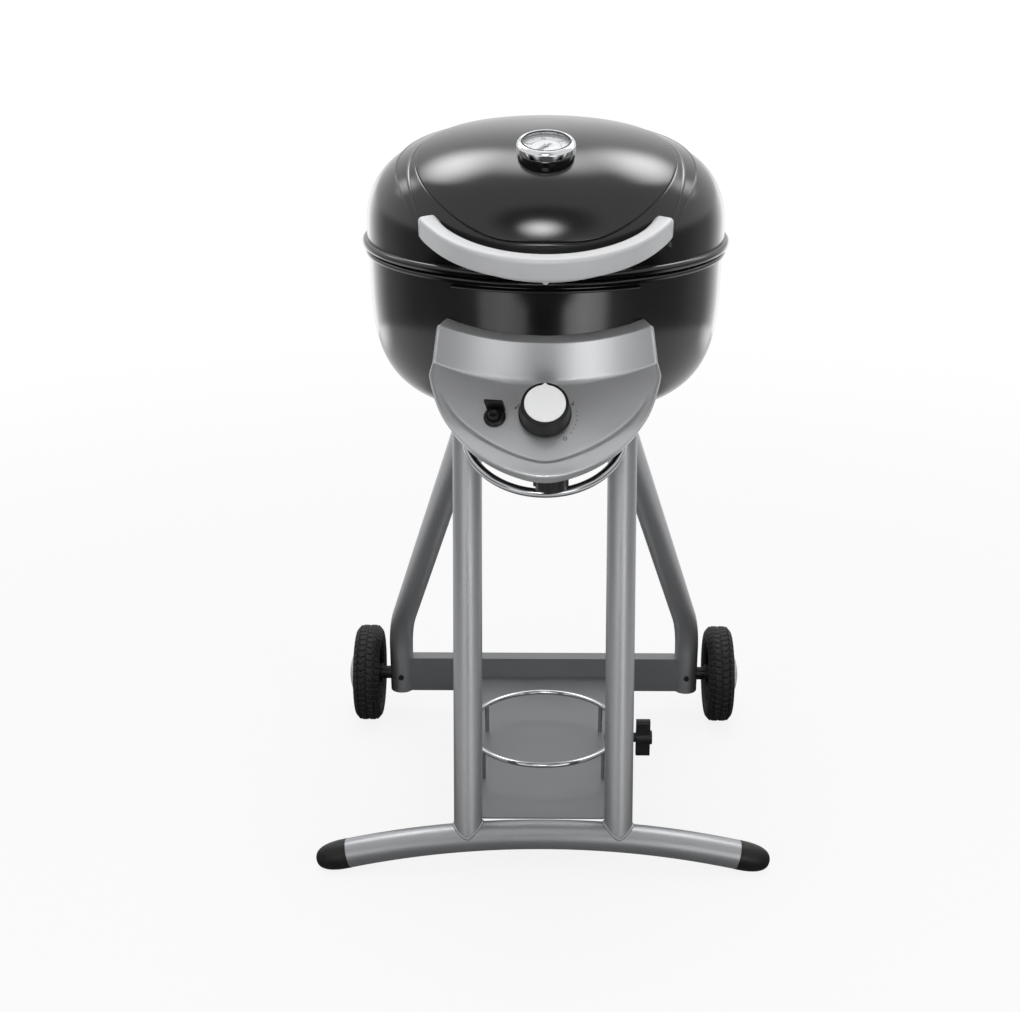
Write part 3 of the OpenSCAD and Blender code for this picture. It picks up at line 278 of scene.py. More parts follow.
# colour, roughness, metal, colour drift, patches and grains per metre, roughness drift,
# then where there is one the bump in mm, its scale and the extra share of fine flakes
finishTable = dict(
    glossBlack=((0.0042, 0.0044, 0.0048), 0.15, 0, 0.25, 14, 260, 0.02, 0.02, 420),
    silverPaint=((0.30, 0.305, 0.315), 0.40, 0.72, 0.10, 10, 900, 0.03, 0.03, 1400, 0.3),
    # silverPaint darkened: painted shade for the shelf and crossbar, which lie in the shade under the grill's
    # head
    shadedSilverPaint=((0.185, 0.19, 0.197), 0.42, 0.72, 0.10, 10, 900, 0.03, 0.03, 1400, 0.3),
    panelSilver=((0.45, 0.455, 0.465), 0.33, 0.55, 0.07, 8, 1100, 0.03, 0.02, 1500, 0.3),
    handleSilver=((0.53, 0.535, 0.545), 0.50, 0.08, 0.05, 12, 1000, 0.04, 0.02, 1500, 0.25),
    hubcapSilver=((0.60, 0.605, 0.61), 0.38, 0.40, 0.05, 16, 900, 0.04, 0.02, 1300, 0.25),
    chromePlate=((0.62, 0.63, 0.64), 0.09, 1.0, 0.04, 25, 300, 0.03),
    # chromePlate darkened: painted shade for the dark surroundings that the rail and ring reflect
    shadedChrome=((0.40, 0.405, 0.415), 0.12, 1.0, 0.05, 25, 300, 0.03),
    zincSteel=((0.42, 0.42, 0.41), 0.34, 1.0, 0.14, 60, 500, 0.08, 0.03, 900),
    cupAluminium=((0.62, 0.62, 0.62), 0.36, 1.0, 0.08, 30, 420, 0.08, 0.05, 260),
    blackPlastic=((0.009, 0.009, 0.0095), 0.42, 0, 0.18, 30, 700, 0.06, 0.04, 1100),
    knobPlastic=((0.006, 0.006, 0.0065), 0.34, 0, 0.15, 40, 700, 0.05, 0.02, 1200),
    tyreRubber=((0.007, 0.007, 0.0075), 0.62, 0, 0.35, 34, 420, 0.10, 0.08, 700),
    brassFinish=((0.52, 0.36, 0.14), 0.32, 1.0, 0.12, 50, 500, 0.08, 0.02, 900),
    castIron=((0.020, 0.019, 0.018), 0.58, 0.2, 0.35, 26, 330, 0.12, 0.12, 520),
    blackEnamel=((0.014, 0.014, 0.015), 0.30, 0, 0.3, 22, 380, 0.08, 0.05, 320),
    whitePrint=((0.92, 0.922, 0.925), 0.34, 0, 0.02, 30, 500, 0.04),
    dialWhite=((0.80, 0.802, 0.806), 0.40, 0, 0.02, 30, 500, 0.04),
    ceramicWhite=((0.74, 0.72, 0.67), 0.30, 0, 0.05, 90, 600, 0.06),
    markInk=((0.10, 0.10, 0.105), 0.5, 0, 0.2, 90, 900, 0.05),
    needlePaint=((0.40, 0.40, 0.41), 0.4, 0, 0.1, 120, 900, 0.05),
    # matte black for the thermometer's seal, and painted shade for the gap in the lid's seam groove
    sealBlackSeamShade=((0.004, 0.004, 0.0045), 0.6, 0, 0.3, 40, 500, 0.05),
    gaugeGlass=((0.96, 0.97, 0.97), 0.04, 0, 0.01, 20, 200, 0.02),
)
finishExtra = {"glossBlack": {"IOR": 1.5}, "gaugeGlass": {"Transmission Weight": 1.0, "IOR": 1.12},
               "blackPlastic": {"Specular IOR Level": 0.25}, "knobPlastic": {"Specular IOR Level": 0.25},
               "tyreRubber": {"Specular IOR Level": 0.25}}
finishes = {name: surface(name, *values) for name, values in finishTable.items()}
print("finishes:", len(finishes))


# camera, floor and light

view = dict(distance=2.1376, height=1.332, tilt=69.0, roll=0.25, lens=54.875, shiftX=-0.0339)

cameraData = bpy.data.cameras.new("camera")
cameraData.sensor_width = 36
cameraData.lens = view["lens"]
cameraData.shift_x = view["shiftX"]
camera = bpy.data.objects.new("camera", cameraData)
camera.location = (0, bowlAxis.y - view["distance"], view["height"])
cameraTurn = Matrix.Rotation(radians(view["tilt"]), 3, "X") @ Matrix.Rotation(radians(view["roll"]), 3, "Z")
camera.rotation_euler = cameraTurn.to_euler()
show(camera)
scene.camera = camera
scene.view_settings.view_transform = "Standard"

light = dict(fill=0.55, floorShade=0.92, floorWhite=0.86, floorNear=0.7, floorFar=3.2, floorRadius=12.0,
    floorZ=-0.0004, ringRadius=2.6, ringLow=0.0, ringHigh=1.2, ringFade=0.3, ringGlow=4.0)
pureWhite = (1, 1, 1, 1)


def seenWhite(tree):  # 1 for what the camera, a reflection or the glass sees, 0 for what lights the object
    ray = newNode(tree, "LightPath").outputs
    some = newNode(tree, "Math", {0: ray["Is Camera Ray"], 1: ray["Is Glossy Ray"]}, operation="MAXIMUM")
    return newNode(tree, "Math", {0: some, 1: ray["Is Transmission Ray"]}, operation="MAXIMUM")


def rampBetween(tree, value, low, high, fromValue=0.0, toValue=1.0):
    inputs = {"Value": value, "From Min": low, "From Max": high, "To Min": fromValue, "To Max": toValue}
    return newNode(tree, "MapRange", inputs, interpolation_type="SMOOTHSTEP")


world = bpy.data.worlds.new("studio")
world.use_nodes = True
scene.world = world
sky = world.node_tree
sky.nodes.clear()
fill = newNode(sky, "Background", {"Color": pureWhite, "Strength": light["fill"]})
backdrop = newNode(sky, "Background", {"Color": pureWhite, "Strength": 1.0})
choice = newNode(sky, "MixShader", {"Fac": seenWhite(sky), 1: fill, 2: backdrop})
newNode(sky, "OutputWorld", {"Surface": choice})


def glowOver(name, baseKind, strength):  # a glow mixed with a plain or clear sheet
    finish = bpy.data.materials.new(name)
    finish.use_nodes = True
    tree = finish.node_tree
    tree.nodes.clear()
    base = newNode(tree, baseKind)
    glow = newNode(tree, "Emission", {"Color": pureWhite, "Strength": strength})
    both = newNode(tree, "MixShader", {1: base, 2: glow})
    newNode(tree, "OutputMaterial", {"Surface": both})
    return finish, base, glow, both, newNode(tree, "TexCoord").outputs


def stagePiece(name, shape, finish):
    mesh = bpy.data.meshes.new(name)
    mesh.from_pydata(shape[0], [], shape[1])
    mesh.materials.append(finish)
    piece = bpy.data.objects.new(name, mesh)
    show(piece)
    return piece


def makeFloor():
    finish, base, glow, both, where = glowOver("paleFloor", "BsdfDiffuse", 1.0)
    tree = finish.node_tree
    away = newNode(tree, "VectorMath", {0: where["Object"]}, operation="LENGTH").outputs["Value"]
    far = rampBetween(tree, away, light["floorNear"], light["floorFar"], light["floorWhite"], 1.0)
    share = newNode(tree, "Math", {0: seenWhite(tree), 1: far}, operation="MULTIPLY")
    setInputs(base, {"Color": [light["floorShade"]] * 3 + [1]})
    setInputs(both, {"Fac": share})
    z = light["floorZ"]
    stagePiece("floor", lathe([(0, z), (2, z), (light["floorRadius"], z)], 64), finish)


def aimed(thing, at, aim):
    thing.location = at
    thing.rotation_euler = (Vector(aim) - Vector(at)).to_track_quat("-Z", "Y").to_euler()


def softBox(name, at, aim, wide, tall, radiance):
    data = bpy.data.lights.new(name, "AREA")
    data.shape = "RECTANGLE"
    data.size, data.size_y = wide, tall
    data.energy = radiance * pi * wide * tall
    lamp = bpy.data.objects.new(name, data)
    aimed(lamp, at, aim)
    lamp.visible_camera = False
    lamp.visible_glossy = False  # gloss sees the cards instead
    show(lamp)


def onlyReflected(card):
    for ray in ("camera", "diffuse", "shadow", "transmission"):
        setattr(card, "visible_" + ray, False)


def softCard(name, at, aim, wide, tall, shade, core):  # full inside the core, clear at the edge
    finish, base, glow, both, where = glowOver(name, "BsdfTransparent", shade)
    tree = finish.node_tree
    shift = newNode(tree, "VectorMath", {0: where["Generated"], 1: (2, 2, 0), 2: (-1, -1, 0)},
                    operation="MULTIPLY_ADD")
    away = newNode(tree, "VectorMath", {0: shift}, operation="LENGTH").outputs["Value"]
    setInputs(both, {"Fac": rampBetween(tree, away, 1.0, core)})
    x, y = wide / 2, tall / 2
    card = stagePiece(name, ([(-x, -y, 0), (x, -y, 0), (x, y, 0), (-x, y, 0)], [(0, 1, 2, 3)]), finish)
    aimed(card, at, aim)
    onlyReflected(card)


# light on the ring of cards at each turn from the front, in degrees to the right
ringShades = {-180: 0.9, -165: 1.0, -153: 2.0, -115: 0.47, -84: 0.25, -60: 0.20, -43: 0.30, -36: 1.6,
              -24: 2.0, -13: 1.5, -9: 0.05, 0: 0.0, 9: 0.05, 13: 2.7, 22: 3.6, 32: 2.9, 40: 0.40, 60: 0.22,
              84: 0.25, 115: 0.47, 153: 2.0, 165: 1.0, 180: 0.9}


def cardRing():
    finish, base, glow, both, where = glowOver("cardRing", "BsdfTransparent", light["ringGlow"])
    tree = finish.node_tree
    apart = newNode(tree, "SeparateXYZ", {0: where["Object"]}).outputs
    front = newNode(tree, "Math", {0: apart["Y"], 1: -1.0}, operation="MULTIPLY")
    turn = newNode(tree, "Math", {0: apart["X"], 1: front}, operation="ARCTAN2")
    share = newNode(tree, "MapRange", {"Value": turn, "From Min": -pi, "From Max": pi})
    shades = newNode(tree, "ValToRGB", {"Fac": share})
    shades.color_ramp.interpolation = "EASE"
    stops = shades.color_ramp.elements
    for k, (turned, shade) in enumerate(ringShades.items()):
        spot = (turned + 180) / 360
        stop = stops[k] if k < 2 else stops.new(spot)
        stop.position = spot
        stop.color = [shade / light["ringGlow"]] * 3 + [1]
    setInputs(glow, {"Color": shades})
    r, low, high = light["ringRadius"], light["ringLow"], light["ringHigh"]
    setInputs(both, {"Fac": rampBetween(tree, apart["Z"], high, high - light["ringFade"])})
    onlyReflected(stagePiece("cardRing", lathe([(r, low), (r, high)], 96), finish))


# where each lamp stands, what it faces, its width, height and brightness
lamps = dict(
    top=((0, 0.05, 2.7), (0, 0.05, 0.9), 0.9, 0.9, 5.0),
    frontLeft=((-1.9, -1.9, 1.3), (0, 0, 0.7), 0.9, 1.6, 2.0),
    frontRight=((1.9, -1.9, 1.3), (0, 0, 0.7), 0.9, 1.6, 2.4))
cards = dict(  # the same, and the share of the card that isn't faded; a flag is a dark card
    backLeft=((-0.92, 0.86, 2.60), (0, 0, 1.0), 2.2, 1.4, 9.5, 0.1),
    backRight=((1.00, 0.92, 2.55), (0, 0, 1.0), 2.2, 1.4, 9.0, 0.1),
    sideLeft=((-1.93, 1.00, 2.15), (0, 0, 1.0), 1.1, 1.0, 4.5, 0.1),
    sideRight=((1.93, 1.00, 2.15), (0, 0, 1.0), 1.1, 1.0, 4.5, 0.1),
    backMid=((0, 0.68, 2.65), (0, 0, 1.0), 1.9, 1.6, 5.5, 0.1),
    frontHigh=((-0.12, -2.60, 1.74), (0, 0, 0.9), 1.6, 1.0, 19.0, 0.05),
    frontFlag=((0, -2.75, 2.20), (0, 0, 0.9), 4.6, 2.6, 0.25, 0.4),
    # a dark card under the handle, seen only in reflections: painted shade for the handle's underside as the
    # control panel reflects it
    handleShadeFlag=((0, -0.290, 0.893), (0, -0.290, 0), 0.84, 0.20, 0.0, 0.62),
    footFlag=((0, -0.90, 0.45), (0, -0.90, 0), 1.3, 0.62, 0.1, 0.5),
    creaseFlag=((0, -0.55, 0.886), (0, -0.264, 0.778), 0.36, 0.18, 0.06, 0.5),
    glowLeft=((-1.75, 1.80, 0.01), (-1.75, 1.80, 0), 1.6, 1.7, 2.4, 0.2),
    glowRight=((1.75, 1.80, 0.01), (1.75, 1.80, 0), 1.6, 1.7, 2.4, 0.2),
    # a dark card on the floor under the grill, seen only in reflections: painted shade for the shaded floor
    # there
    floorShadeFlag=((0, 0.15, 0.004), (0, 0.15, -1), 1.9, 1.8, 0.12, 0.5))

makeFloor()
for name, values in lamps.items():
    softBox(name, *values)
for name, values in cards.items():
    softCard(name, *values)
cardRing()
print("stage: floor, lamps and cards")


# lid: a domed sheet with a smooth centre panel inside a grooved seam, whose groove is painted matte black as
# the shade in the gap, one step outside it and a rolled lip

lid = dict(radius=245, domeTall=153, roundPlan=2.35, roundSide=2.9, lipTop=915.0, lipLow=903.4,
    lipOut=246.2, lipBead=5.8, step=2.6, panelFront=163.4, panelSide=168.4, panelBack=160.0,
    panelSquare=6.0, panelForward=80, terraceRadius=197, terraceForward=68, ridgeRadius=177,
    ridgeForward=102, ridge=0.7, ridgeWide=1.5, blend=3.0, groove=1.0, grooveWide=1.2, seamShadeHalf=1.1,
    frontShare=0.35, frontFrom=215.0, sheet=1.6, turns=576, spacing=5.2, clear=6.0,
    rows=(-4.6, -3.0, -2.0, -1.25, -0.6, 0.0, 0.6, 1.25, 2.0, 3.0, 4.6), rowStride=9, rimClear=1.2,
    lipSteps=14, insideSteps=26)

lidBase = lid["domeTall"] - 2 * lid["step"]
lidSteps = 6000
lineSteps = 4000
lidTurns = [pi / 2 * (1 - k / lidSteps) for k in range(lidSteps + 1)]


def lidRound(turn):  # radius and height of the plain dome, from turn 0 at its rim to its top
    return superRound(turn, lid["radius"], lidBase, lid)


lidLong = [0.0]  # length along the dome from its top
for high, low in zip(lidTurns, lidTurns[1:]):
    lidLong.append(lidLong[-1] + dist(lidRound(high), lidRound(low)))


def turnAt(along):
    k = min(lidSteps - 1, max(0, bisect.bisect_right(lidLong, along) - 1))
    return mix(lidTurns[k], lidTurns[k + 1], min(1.0, (along - lidLong[k]) / (lidLong[k + 1] - lidLong[k])))


def unrolled(x, y):  # a spot seen from above, laid flat at its length from the top of the dome
    r = hypot(x, y)
    place = (1 - acos((r / lid["radius"]) ** (lid["roundPlan"] / 2)) / (pi / 2)) * lidSteps
    k = min(lidSteps - 1, int(place))
    along = mix(lidLong[k], lidLong[k + 1], place - k)
    return x / r * along, y / r * along


def fromAbove(u, v):
    along = hypot(u, v)
    r = lidRound(turnAt(along))[0]
    return (u / along * r, v / along * r) if along > 1e-6 else (0.0, 0.0)


def pressedLine(radiusAt, forward):  # a line on the dome, laid flat, and how far a spot lies inside it
    line = []
    for k in range(lineSteps):
        a = 2 * pi * k / lineSteps
        radius = radiusAt(abs(pi - a))
        x, y = radius * sin(a), radius * cos(a) - forward
        if hypot(x, y) < lid["radius"] - 0.3:
            line.append(unrolled(x, y))
    near = nearTree(line)

    def inward(u, v):
        x, y = fromAbove(u, v)
        away = near.find((u, v, 0))[2]
        y += forward
        return away if hypot(x, y) < radiusAt(atan2(abs(x), -y)) else -away

    return line, inward


def panelRadiusAt(turn):  # turn from the front; the panel is a little square towards its front corners
    if turn > pi / 2:
        return mix(lid["panelSide"], lid["panelBack"], smooth((turn - pi / 2) / 0.7))
    square = lid["panelSquare"] * sin(2 * turn) ** 2
    return mix(lid["panelFront"], lid["panelSide"], sin(turn) ** 2) + square


pressedLines = [pressedLine(panelRadiusAt, lid["panelForward"]),
                pressedLine(lambda turn: lid["terraceRadius"], lid["terraceForward"]),
                pressedLine(lambda turn: lid["ridgeRadius"], lid["ridgeForward"])]
panelIn, terraceIn, ridgeIn = [inward for line, inward in pressedLines]


def lidLift(u, v):
    inPanel = panelIn(u, v)
    inTerrace = terraceIn(u, v)
    steps = smooth(inPanel / lid["blend"] + 0.5) + smooth(inTerrace / lid["blend"] + 0.5)
    low = smooth((hypot(*fromAbove(u, v)) - lid["frontFrom"]) / (lid["radius"] - lid["frontFrom"]))
    ridges = exp(-(ridgeIn(u, v) / lid["ridgeWide"]) ** 2) * smooth((-inPanel - 1.5) / 3)
    ridges += exp(-((inTerrace - lid["blend"] / 2) / lid["ridgeWide"]) ** 2)
    raised = lid["step"] * steps + lid["ridge"] * ridges
    sunk = lid["groove"] * exp(-(inPanel / lid["grooveWide"]) ** 2)
    return mix(1, lid["frontShare"], low) * raised - sunk


def lidVertex(u, v):  # a point of the dome and the exact direction that its surface faces
    along = max(1e-3, hypot(u, v))
    c, s = (u / along, v / along) if hypot(u, v) > 1e-3 else (1.0, 0.0)
    r, z = lidRound(turnAt(along))
    outR = lid["roundPlan"] / lid["radius"] * (r / lid["radius"]) ** (lid["roundPlan"] - 1)
    outZ = lid["roundSide"] / lidBase * (z / lidBase) ** (lid["roundSide"] - 1)
    out = Vector((outR * c, outR * s, outZ)).normalized()
    around = Vector((-s, c, 0))
    down = around.cross(out)
    nudge = 0.2
    fall = (lidLift(u + nudge * c, v + nudge * s) - lidLift(u - nudge * c, v - nudge * s)) / (2 * nudge)
    drift = (lidLift(u - nudge * s, v + nudge * c) - lidLift(u + nudge * s, v - nudge * c)) / (2 * nudge)
    spot = Vector((r * c, r * s, lid["lipTop"] + z)) + out * lidLift(u, v)
    return tuple(spot), (out - down * fall - around * drift).normalized()


def lidShape():
    turns, rim = lid["turns"], lidLong[-1]
    flat = [(0.0, 0.0)]
    rings = int(rim / lid["spacing"])
    for k in range(1, rings):
        along = rim * k / rings
        count = max(12, int(2 * pi * lidRound(turnAt(along))[0] / lid["spacing"]))
        for j in range(count):
            a = 2 * pi * (j + 0.5 * (k % 2)) / count
            u, v = along * cos(a), along * sin(a)
            if min(abs(inward(u, v)) for line, inward in pressedLines) > lid["clear"]:
                flat.append((u, v))
    for line, inward in pressedLines:  # rows of points follow each pressed line
        for k in range(5, len(line) - 5, lid["rowStride"]):
            here, ahead, behind = (Vector(line[k + d]) for d in (0, 5, -5))
            side = (ahead - behind).orthogonal().normalized()
            for offset in lid["rows"]:
                spot = here + side * offset
                if spot.length < rim - lid["rimClear"]:
                    flat.append(tuple(spot))
    first = len(flat)
    flat += circle(turns, rim)
    edges = [(first + j, first + (j + 1) % turns) for j in range(turns)]
    made = delaunay_2d_cdt([Vector(p) for p in flat], edges, [], 0, 1e-4)
    flat = [tuple(p) for p in made[0]]
    faces = [list(corners) for corners in made[2]]
    ring = [None] * turns
    for k, sources in enumerate(made[3]):
        for source in sources:
            if source >= first:
                ring[source - first] = k
    points, normals = [], {}
    for k, (u, v) in enumerate(flat):
        spot, normals[k] = lidVertex(u, v)
        points.append(spot)
    # faces within the seam's groove, which get the matte black of painted shade
    seam = []
    for k, corners in enumerate(faces):
        u, v = (sum(flat[c][axis] for c in corners) / len(corners) for axis in (0, 1))
        if abs(panelIn(u, v)) < lid["seamShadeHalf"]:
            seam.append(k)

    top, low = lid["lipTop"], lid["lipLow"]
    inner = lid["radius"] - lid["sheet"]
    tall = lidBase - lid["groove"] - lid["sheet"]
    lipLine = [(lid["radius"] + 0.1, top - 0.05)]
    lipLine += arcLine(lid["lipOut"], (top + low) / 2, lid["lipBead"], 90, -90, lid["lipSteps"])
    lipLine += [(inner + 0.5, low), (inner, low + 0.5), (inner, top)]
    for k in range(1, lid["insideSteps"]):  # the inside of the dome
        r, z = superRound(radians(90 * k / lid["insideSteps"]), inner, tall, lid)
        lipLine.append((r, top + z))
    for r, z in lipLine:
        fresh = list(range(len(points), len(points) + turns))
        points += [(x, y, z) for x, y in circle(turns, r)]
        faces += strip(ring, fresh)
        ring = fresh
    points.append((0, 0, top + tall))
    return (points, faces + fan(ring, len(points) - 1)), normals, seam


lidForm, lidNormals, lidSeamShade = lidShape()
lidShell = makePiece("lidShell", lidForm, "lid", "glossBlack", ["lid_shell"],
                     normals=lidNormals)
# the seam's groove faces take a matte black: painted shade for the gap round the centre panel
lidShell.data.materials.append(finishes["sealBlackSeamShade"])
for k in lidSeamShade:
    lidShell.data.polygons[k].material_index = 1
print("lid:", len(lidForm[0]), "points")


# bowl: a deep pressed bowl with a flat floor and a rolled bead

bowl = dict(radius=242, top=898, deep=208, roundPlan=4.6, roundSide=3.7, floor=692, sheet=1.8, bead=4.0,
    steps=44)


def bowlLine(inset):
    line = []
    floor = bowl["floor"] + inset
    for k in range(bowl["steps"] + 1):
        turn = radians(90 * k / bowl["steps"])
        r, drop = superRound(turn, bowl["radius"] - inset, bowl["deep"] - inset, bowl)
        if bowl["top"] - drop > floor + 0.6:
            line.append((r, bowl["top"] - drop))
    edge = line[-1][0]
    return line + [(edge - 4, floor), (edge - 40, floor), (0, floor)]


beadMid = bowl["radius"] + bowl["bead"] - bowl["sheet"]
beadLine = arcLine(beadMid, bowl["top"], bowl["bead"], 180, -120, 16)
outerLine = [p for p in bowlLine(0) if p[1] < bowl["top"] - bowl["bead"] * 0.9]
bowlForm = lathe(bowlLine(bowl["sheet"])[::-1] + beadLine + outerLine, 288)
makePiece("bowlShell", bowlForm, "frame", "glossBlack", ["bowl"], sharp=60)

frontPanel = dict(half=110, inner=242.15, outer=244.7, low=796, high=889.3, roll=2.4, rollMore=7, steps=72)


def frontSweep(line, half):  # a section swept round the front of the bowl
    turn = degrees(asin(half / bowl["radius"]))
    return lathe(line, frontPanel["steps"], -90 - turn, -90 + turn, closed=True)


def frontPanelShape():
    inner, outer, low, high = pick(frontPanel, "inner", "outer", "low", "high")
    skinLine = softLine([(inner, low), (outer, low), (outer, high), (inner, high)], 0.7, 3, closed=True)
    rollLine = [(outer - 0.2 + x, high + y) for x, y in circle(12, frontPanel["roll"])]
    return joined(frontSweep(skinLine, frontPanel["half"]),
                  frontSweep(rollLine, frontPanel["half"] + frontPanel["rollMore"]))


makePiece("bowlFrontPanel", frontPanelShape(), "frame", "glossBlack", ["bowl_front_panel"])
print("bowl and its front panel")


# control panel: curved band, crease, sloping face, rolled border and a skirt behind

face = dict(topRadius=262.0, creaseRadius=264.0, topZ=829.0, creaseZ=778.0, tipRadius=356.5, bend=2.0,
    slope=45.0, bottomArc=100.0, sideArc=170.0, half=154.0, topHalf=137.0, cornerRound=7.0,
    shoulderRound=11.0, shoulderOut=2.5, borderSide=10.0, borderBottom=21.0, borderTall=3.0, borderSoft=3.5,
    borderFall=4.5, rollSide=1.2, rollBottom=2.4, borderFrom=83.0, borderFade=50.0, rim=0.8, rimAt=2.4,
    rimWide=1.4, rimFade=8.0, edge=1.6, groove=0.5, grooveAt=5.0, grooveWide=1.1, skirt=15.0, ledge=17.0,
    ledgeRise=6.0, ledgeFade=12.0, sheet=2.5, backGap=0.4, columns=288, inRings=14, centre=79.0, smile=13.5,
    smileAt=145.0, smileFade=70.0, lowFrom=81.0, lowLong=95.0,
    depths=(0, 0.25, 0.6, 1.1, 1.7, 2.6, 3.8, 5.2, 6.6, 8, 9.4, 10.8, 12.2, 13.6, 15, 16.4, 17.8, 19.2, 20.6,
            22, 23.6, 25.6, 28, 31, 35))

faceSlope = radians(face["slope"])
bandLong = hypot(face["topZ"] - face["creaseZ"], face["creaseRadius"] - face["topRadius"])
bandLean = atan2(face["creaseRadius"] - face["topRadius"], face["topZ"] - face["creaseZ"])
faceStep = 0.25
faceLine = [(face["topRadius"], face["topZ"], bandLean)]  # radius, height and lean down the middle
while faceLine[-1][0] < face["tipRadius"] + 30:
    s = len(faceLine) * faceStep
    lean = mix(bandLean, faceSlope, smooth((s - bandLong + face["bend"]) / (2 * face["bend"])))
    r, z, _ = faceLine[-1]
    faceLine.append((r + faceStep * sin(lean), z - faceStep * cos(lean), lean))


def facePoint(u, s, lift=0.0):  # u runs round the face, s down it
    k = min(len(faceLine) - 1, max(0, round(s / faceStep)))
    r, z, lean = faceLine[k]
    rest = s - k * faceStep
    r += rest * sin(lean) + lift * cos(lean)
    z += -rest * cos(lean) + lift * sin(lean)
    turn = u / face["creaseRadius"]
    fade = 1 - smooth((s - bandLong) / face["smileFade"])
    z += face["smile"] * fade * (u / face["smileAt"]) ** 2  # the band curves up towards its corners
    return r * sin(turn), -r * cos(turn), z


def resampled(line, count):
    closed = [Vector(p) for p in line] + [Vector(line[0])]
    along = [0.0]
    for a, b in zip(closed, closed[1:]):
        along.append(along[-1] + (b - a).length)
    even, k = [], 0
    for j in range(count):
        want = along[-1] * j / count
        while along[k + 1] < want:
            k += 1
        t = (want - along[k]) / max(1e-9, along[k + 1] - along[k])
        even.append(tuple(closed[k].lerp(closed[k + 1], t)))
    return even


def faceOutline():
    between = face["sideArc"] - face["bottomArc"]
    tuck = asin((face["sideArc"] - face["half"]) / between)
    bottomY = face["bottomArc"] - face["tipRadius"]
    sideX, sideY = -between * sin(tuck), bottomY + between * cos(tuck)
    half = []
    for k in range(121):  # seen from above: the bottom arc, then the side arc up to the crease
        a = radians(75) * k / 120
        x, y, arc = (0, bottomY, face["bottomArc"]) if a < tuck else (sideX, sideY, face["sideArc"])
        x, y = x + arc * sin(a), y - arc * cos(a)
        r = hypot(x, y)
        if r < face["creaseRadius"] + 1:
            break
        down = bandLong + (r - face["creaseRadius"]) / sin(faceSlope)
        half.append((atan2(x, -y) * face["creaseRadius"], down))
    widest = half[-1][0]
    topU = asin(face["topHalf"] / face["topRadius"]) * face["creaseRadius"]
    half += [(widest + face["shoulderOut"], bandLong - 1), (topU, 0), (0, 0)]
    soft = [0] * (len(half) - 3) + [face["shoulderRound"], face["cornerRound"], 0]
    half = softLine(half, soft, 8)
    return resampled(half[::-1] + [(-u, s) for u, s in half[1:-1]], face["columns"])


def controlPanelShape():
    outline = faceOutline()
    near = nearTree(resampled(outline, 1600))

    def lift(u, s):
        at, _, d = near.find((u, s, 0))
        low = smooth((at[1] - face["lowFrom"]) / face["lowLong"])  # 0 at the band, 1 at the bottom
        side = smooth((at[1] - face["borderFrom"]) / face["borderFade"])  # the border fades out up there
        rim = face["rim"] * exp(-((d - face["rimAt"]) / face["rimWide"]) ** 2)
        rim *= smooth(at[1] / face["rimFade"])
        inner = mix(face["borderSide"], face["borderBottom"], low) - face["borderSoft"]
        roll = mix(face["rollSide"], face["rollBottom"], low)
        if d < inner:
            t = (inner - d) / inner
            up = face["borderTall"] - roll * t * t
        else:
            up = face["borderTall"] * (1 - smooth((d - inner) / face["borderFall"]))
        up -= face["groove"] * exp(-((d - inner - face["grooveAt"]) / face["grooveWide"]) ** 2)
        edge = face["edge"]
        fall = 0.0 if d > edge else edge - sqrt(max(0.0, edge ** 2 - (edge - d) ** 2))
        return up * side + rim * (1 - side) - fall

    centre = Vector((0, face["centre"]))
    depths, inRings, sheet = pick(face, "depths", "inRings", "sheet")
    points, faces, rings = [], [], []

    def ringOf(make):
        rings.append(list(range(len(points), len(points) + len(outline))))
        for spot in outline:
            points.append(make(Vector(spot)))

    def inward(spot, depth):
        return centre.lerp(spot, 1 - depth / (spot - centre).length)

    def raised(spot):
        return facePoint(*spot, lift(*spot))

    for depth in depths:
        ringOf(lambda spot: raised(inward(spot, depth)))
    for k in range(1, inRings):
        ringOf(lambda spot: raised(centre.lerp(inward(spot, depths[-1]), 1 - k / inRings)))
    frontRings = rings[::-1]
    rings = []

    def behind(spot, deep, t):  # a spot on the skirt, which along the top is a ledge that climbs to the bowl
        below = smooth(spot.y / face["ledgeFade"])
        at = inward(spot, deep)
        at.y -= face["ledgeRise"] * t * (1 - below)
        return facePoint(*at, -face["edge"] - mix(face["ledge"], face["skirt"], below) * t)

    for deep, t in ((0, 0.2), (0, 0.6), (0, 0.97), (0.4, 1.0), (sheet - 0.4, 1.0), (sheet, 0.97)):
        ringOf(lambda spot: behind(spot, deep, t))
    backUp = -sheet - face["backGap"]
    ringOf(lambda spot: facePoint(*inward(spot, sheet + 0.3), -sheet - 1.5))
    for k in range(inRings):
        ringOf(lambda spot: facePoint(*centre.lerp(inward(spot, 5), 1 - k / inRings), backUp))
    rings = frontRings + rings
    for low, high in zip(rings, rings[1:]):
        faces += strip(low, high)
    for ring, up in ((rings[0], lift(*centre)), (rings[-1], backUp)):
        points.append(facePoint(*centre, up))
        faces += fan(ring, len(points) - 1)
    return points, faces


makePiece("controlPanel", controlPanelShape(), "frame", "panelSilver", ["control_panel"],
          sharp=50)
print("control panel")


# knob with its white disc, igniter and the setting marks

knobJoint = joints["valve_turn"]
knobSeat = seatPlace(knobJoint["pos_m"], knobJoint["axis"])
knob = dict(gap=5.0, skirt=33.0, waist=31.6, top=29.0, tall=29.0, disc=25.6, tip=28.6, tipHalf=4.4,
    discTall=1.7)


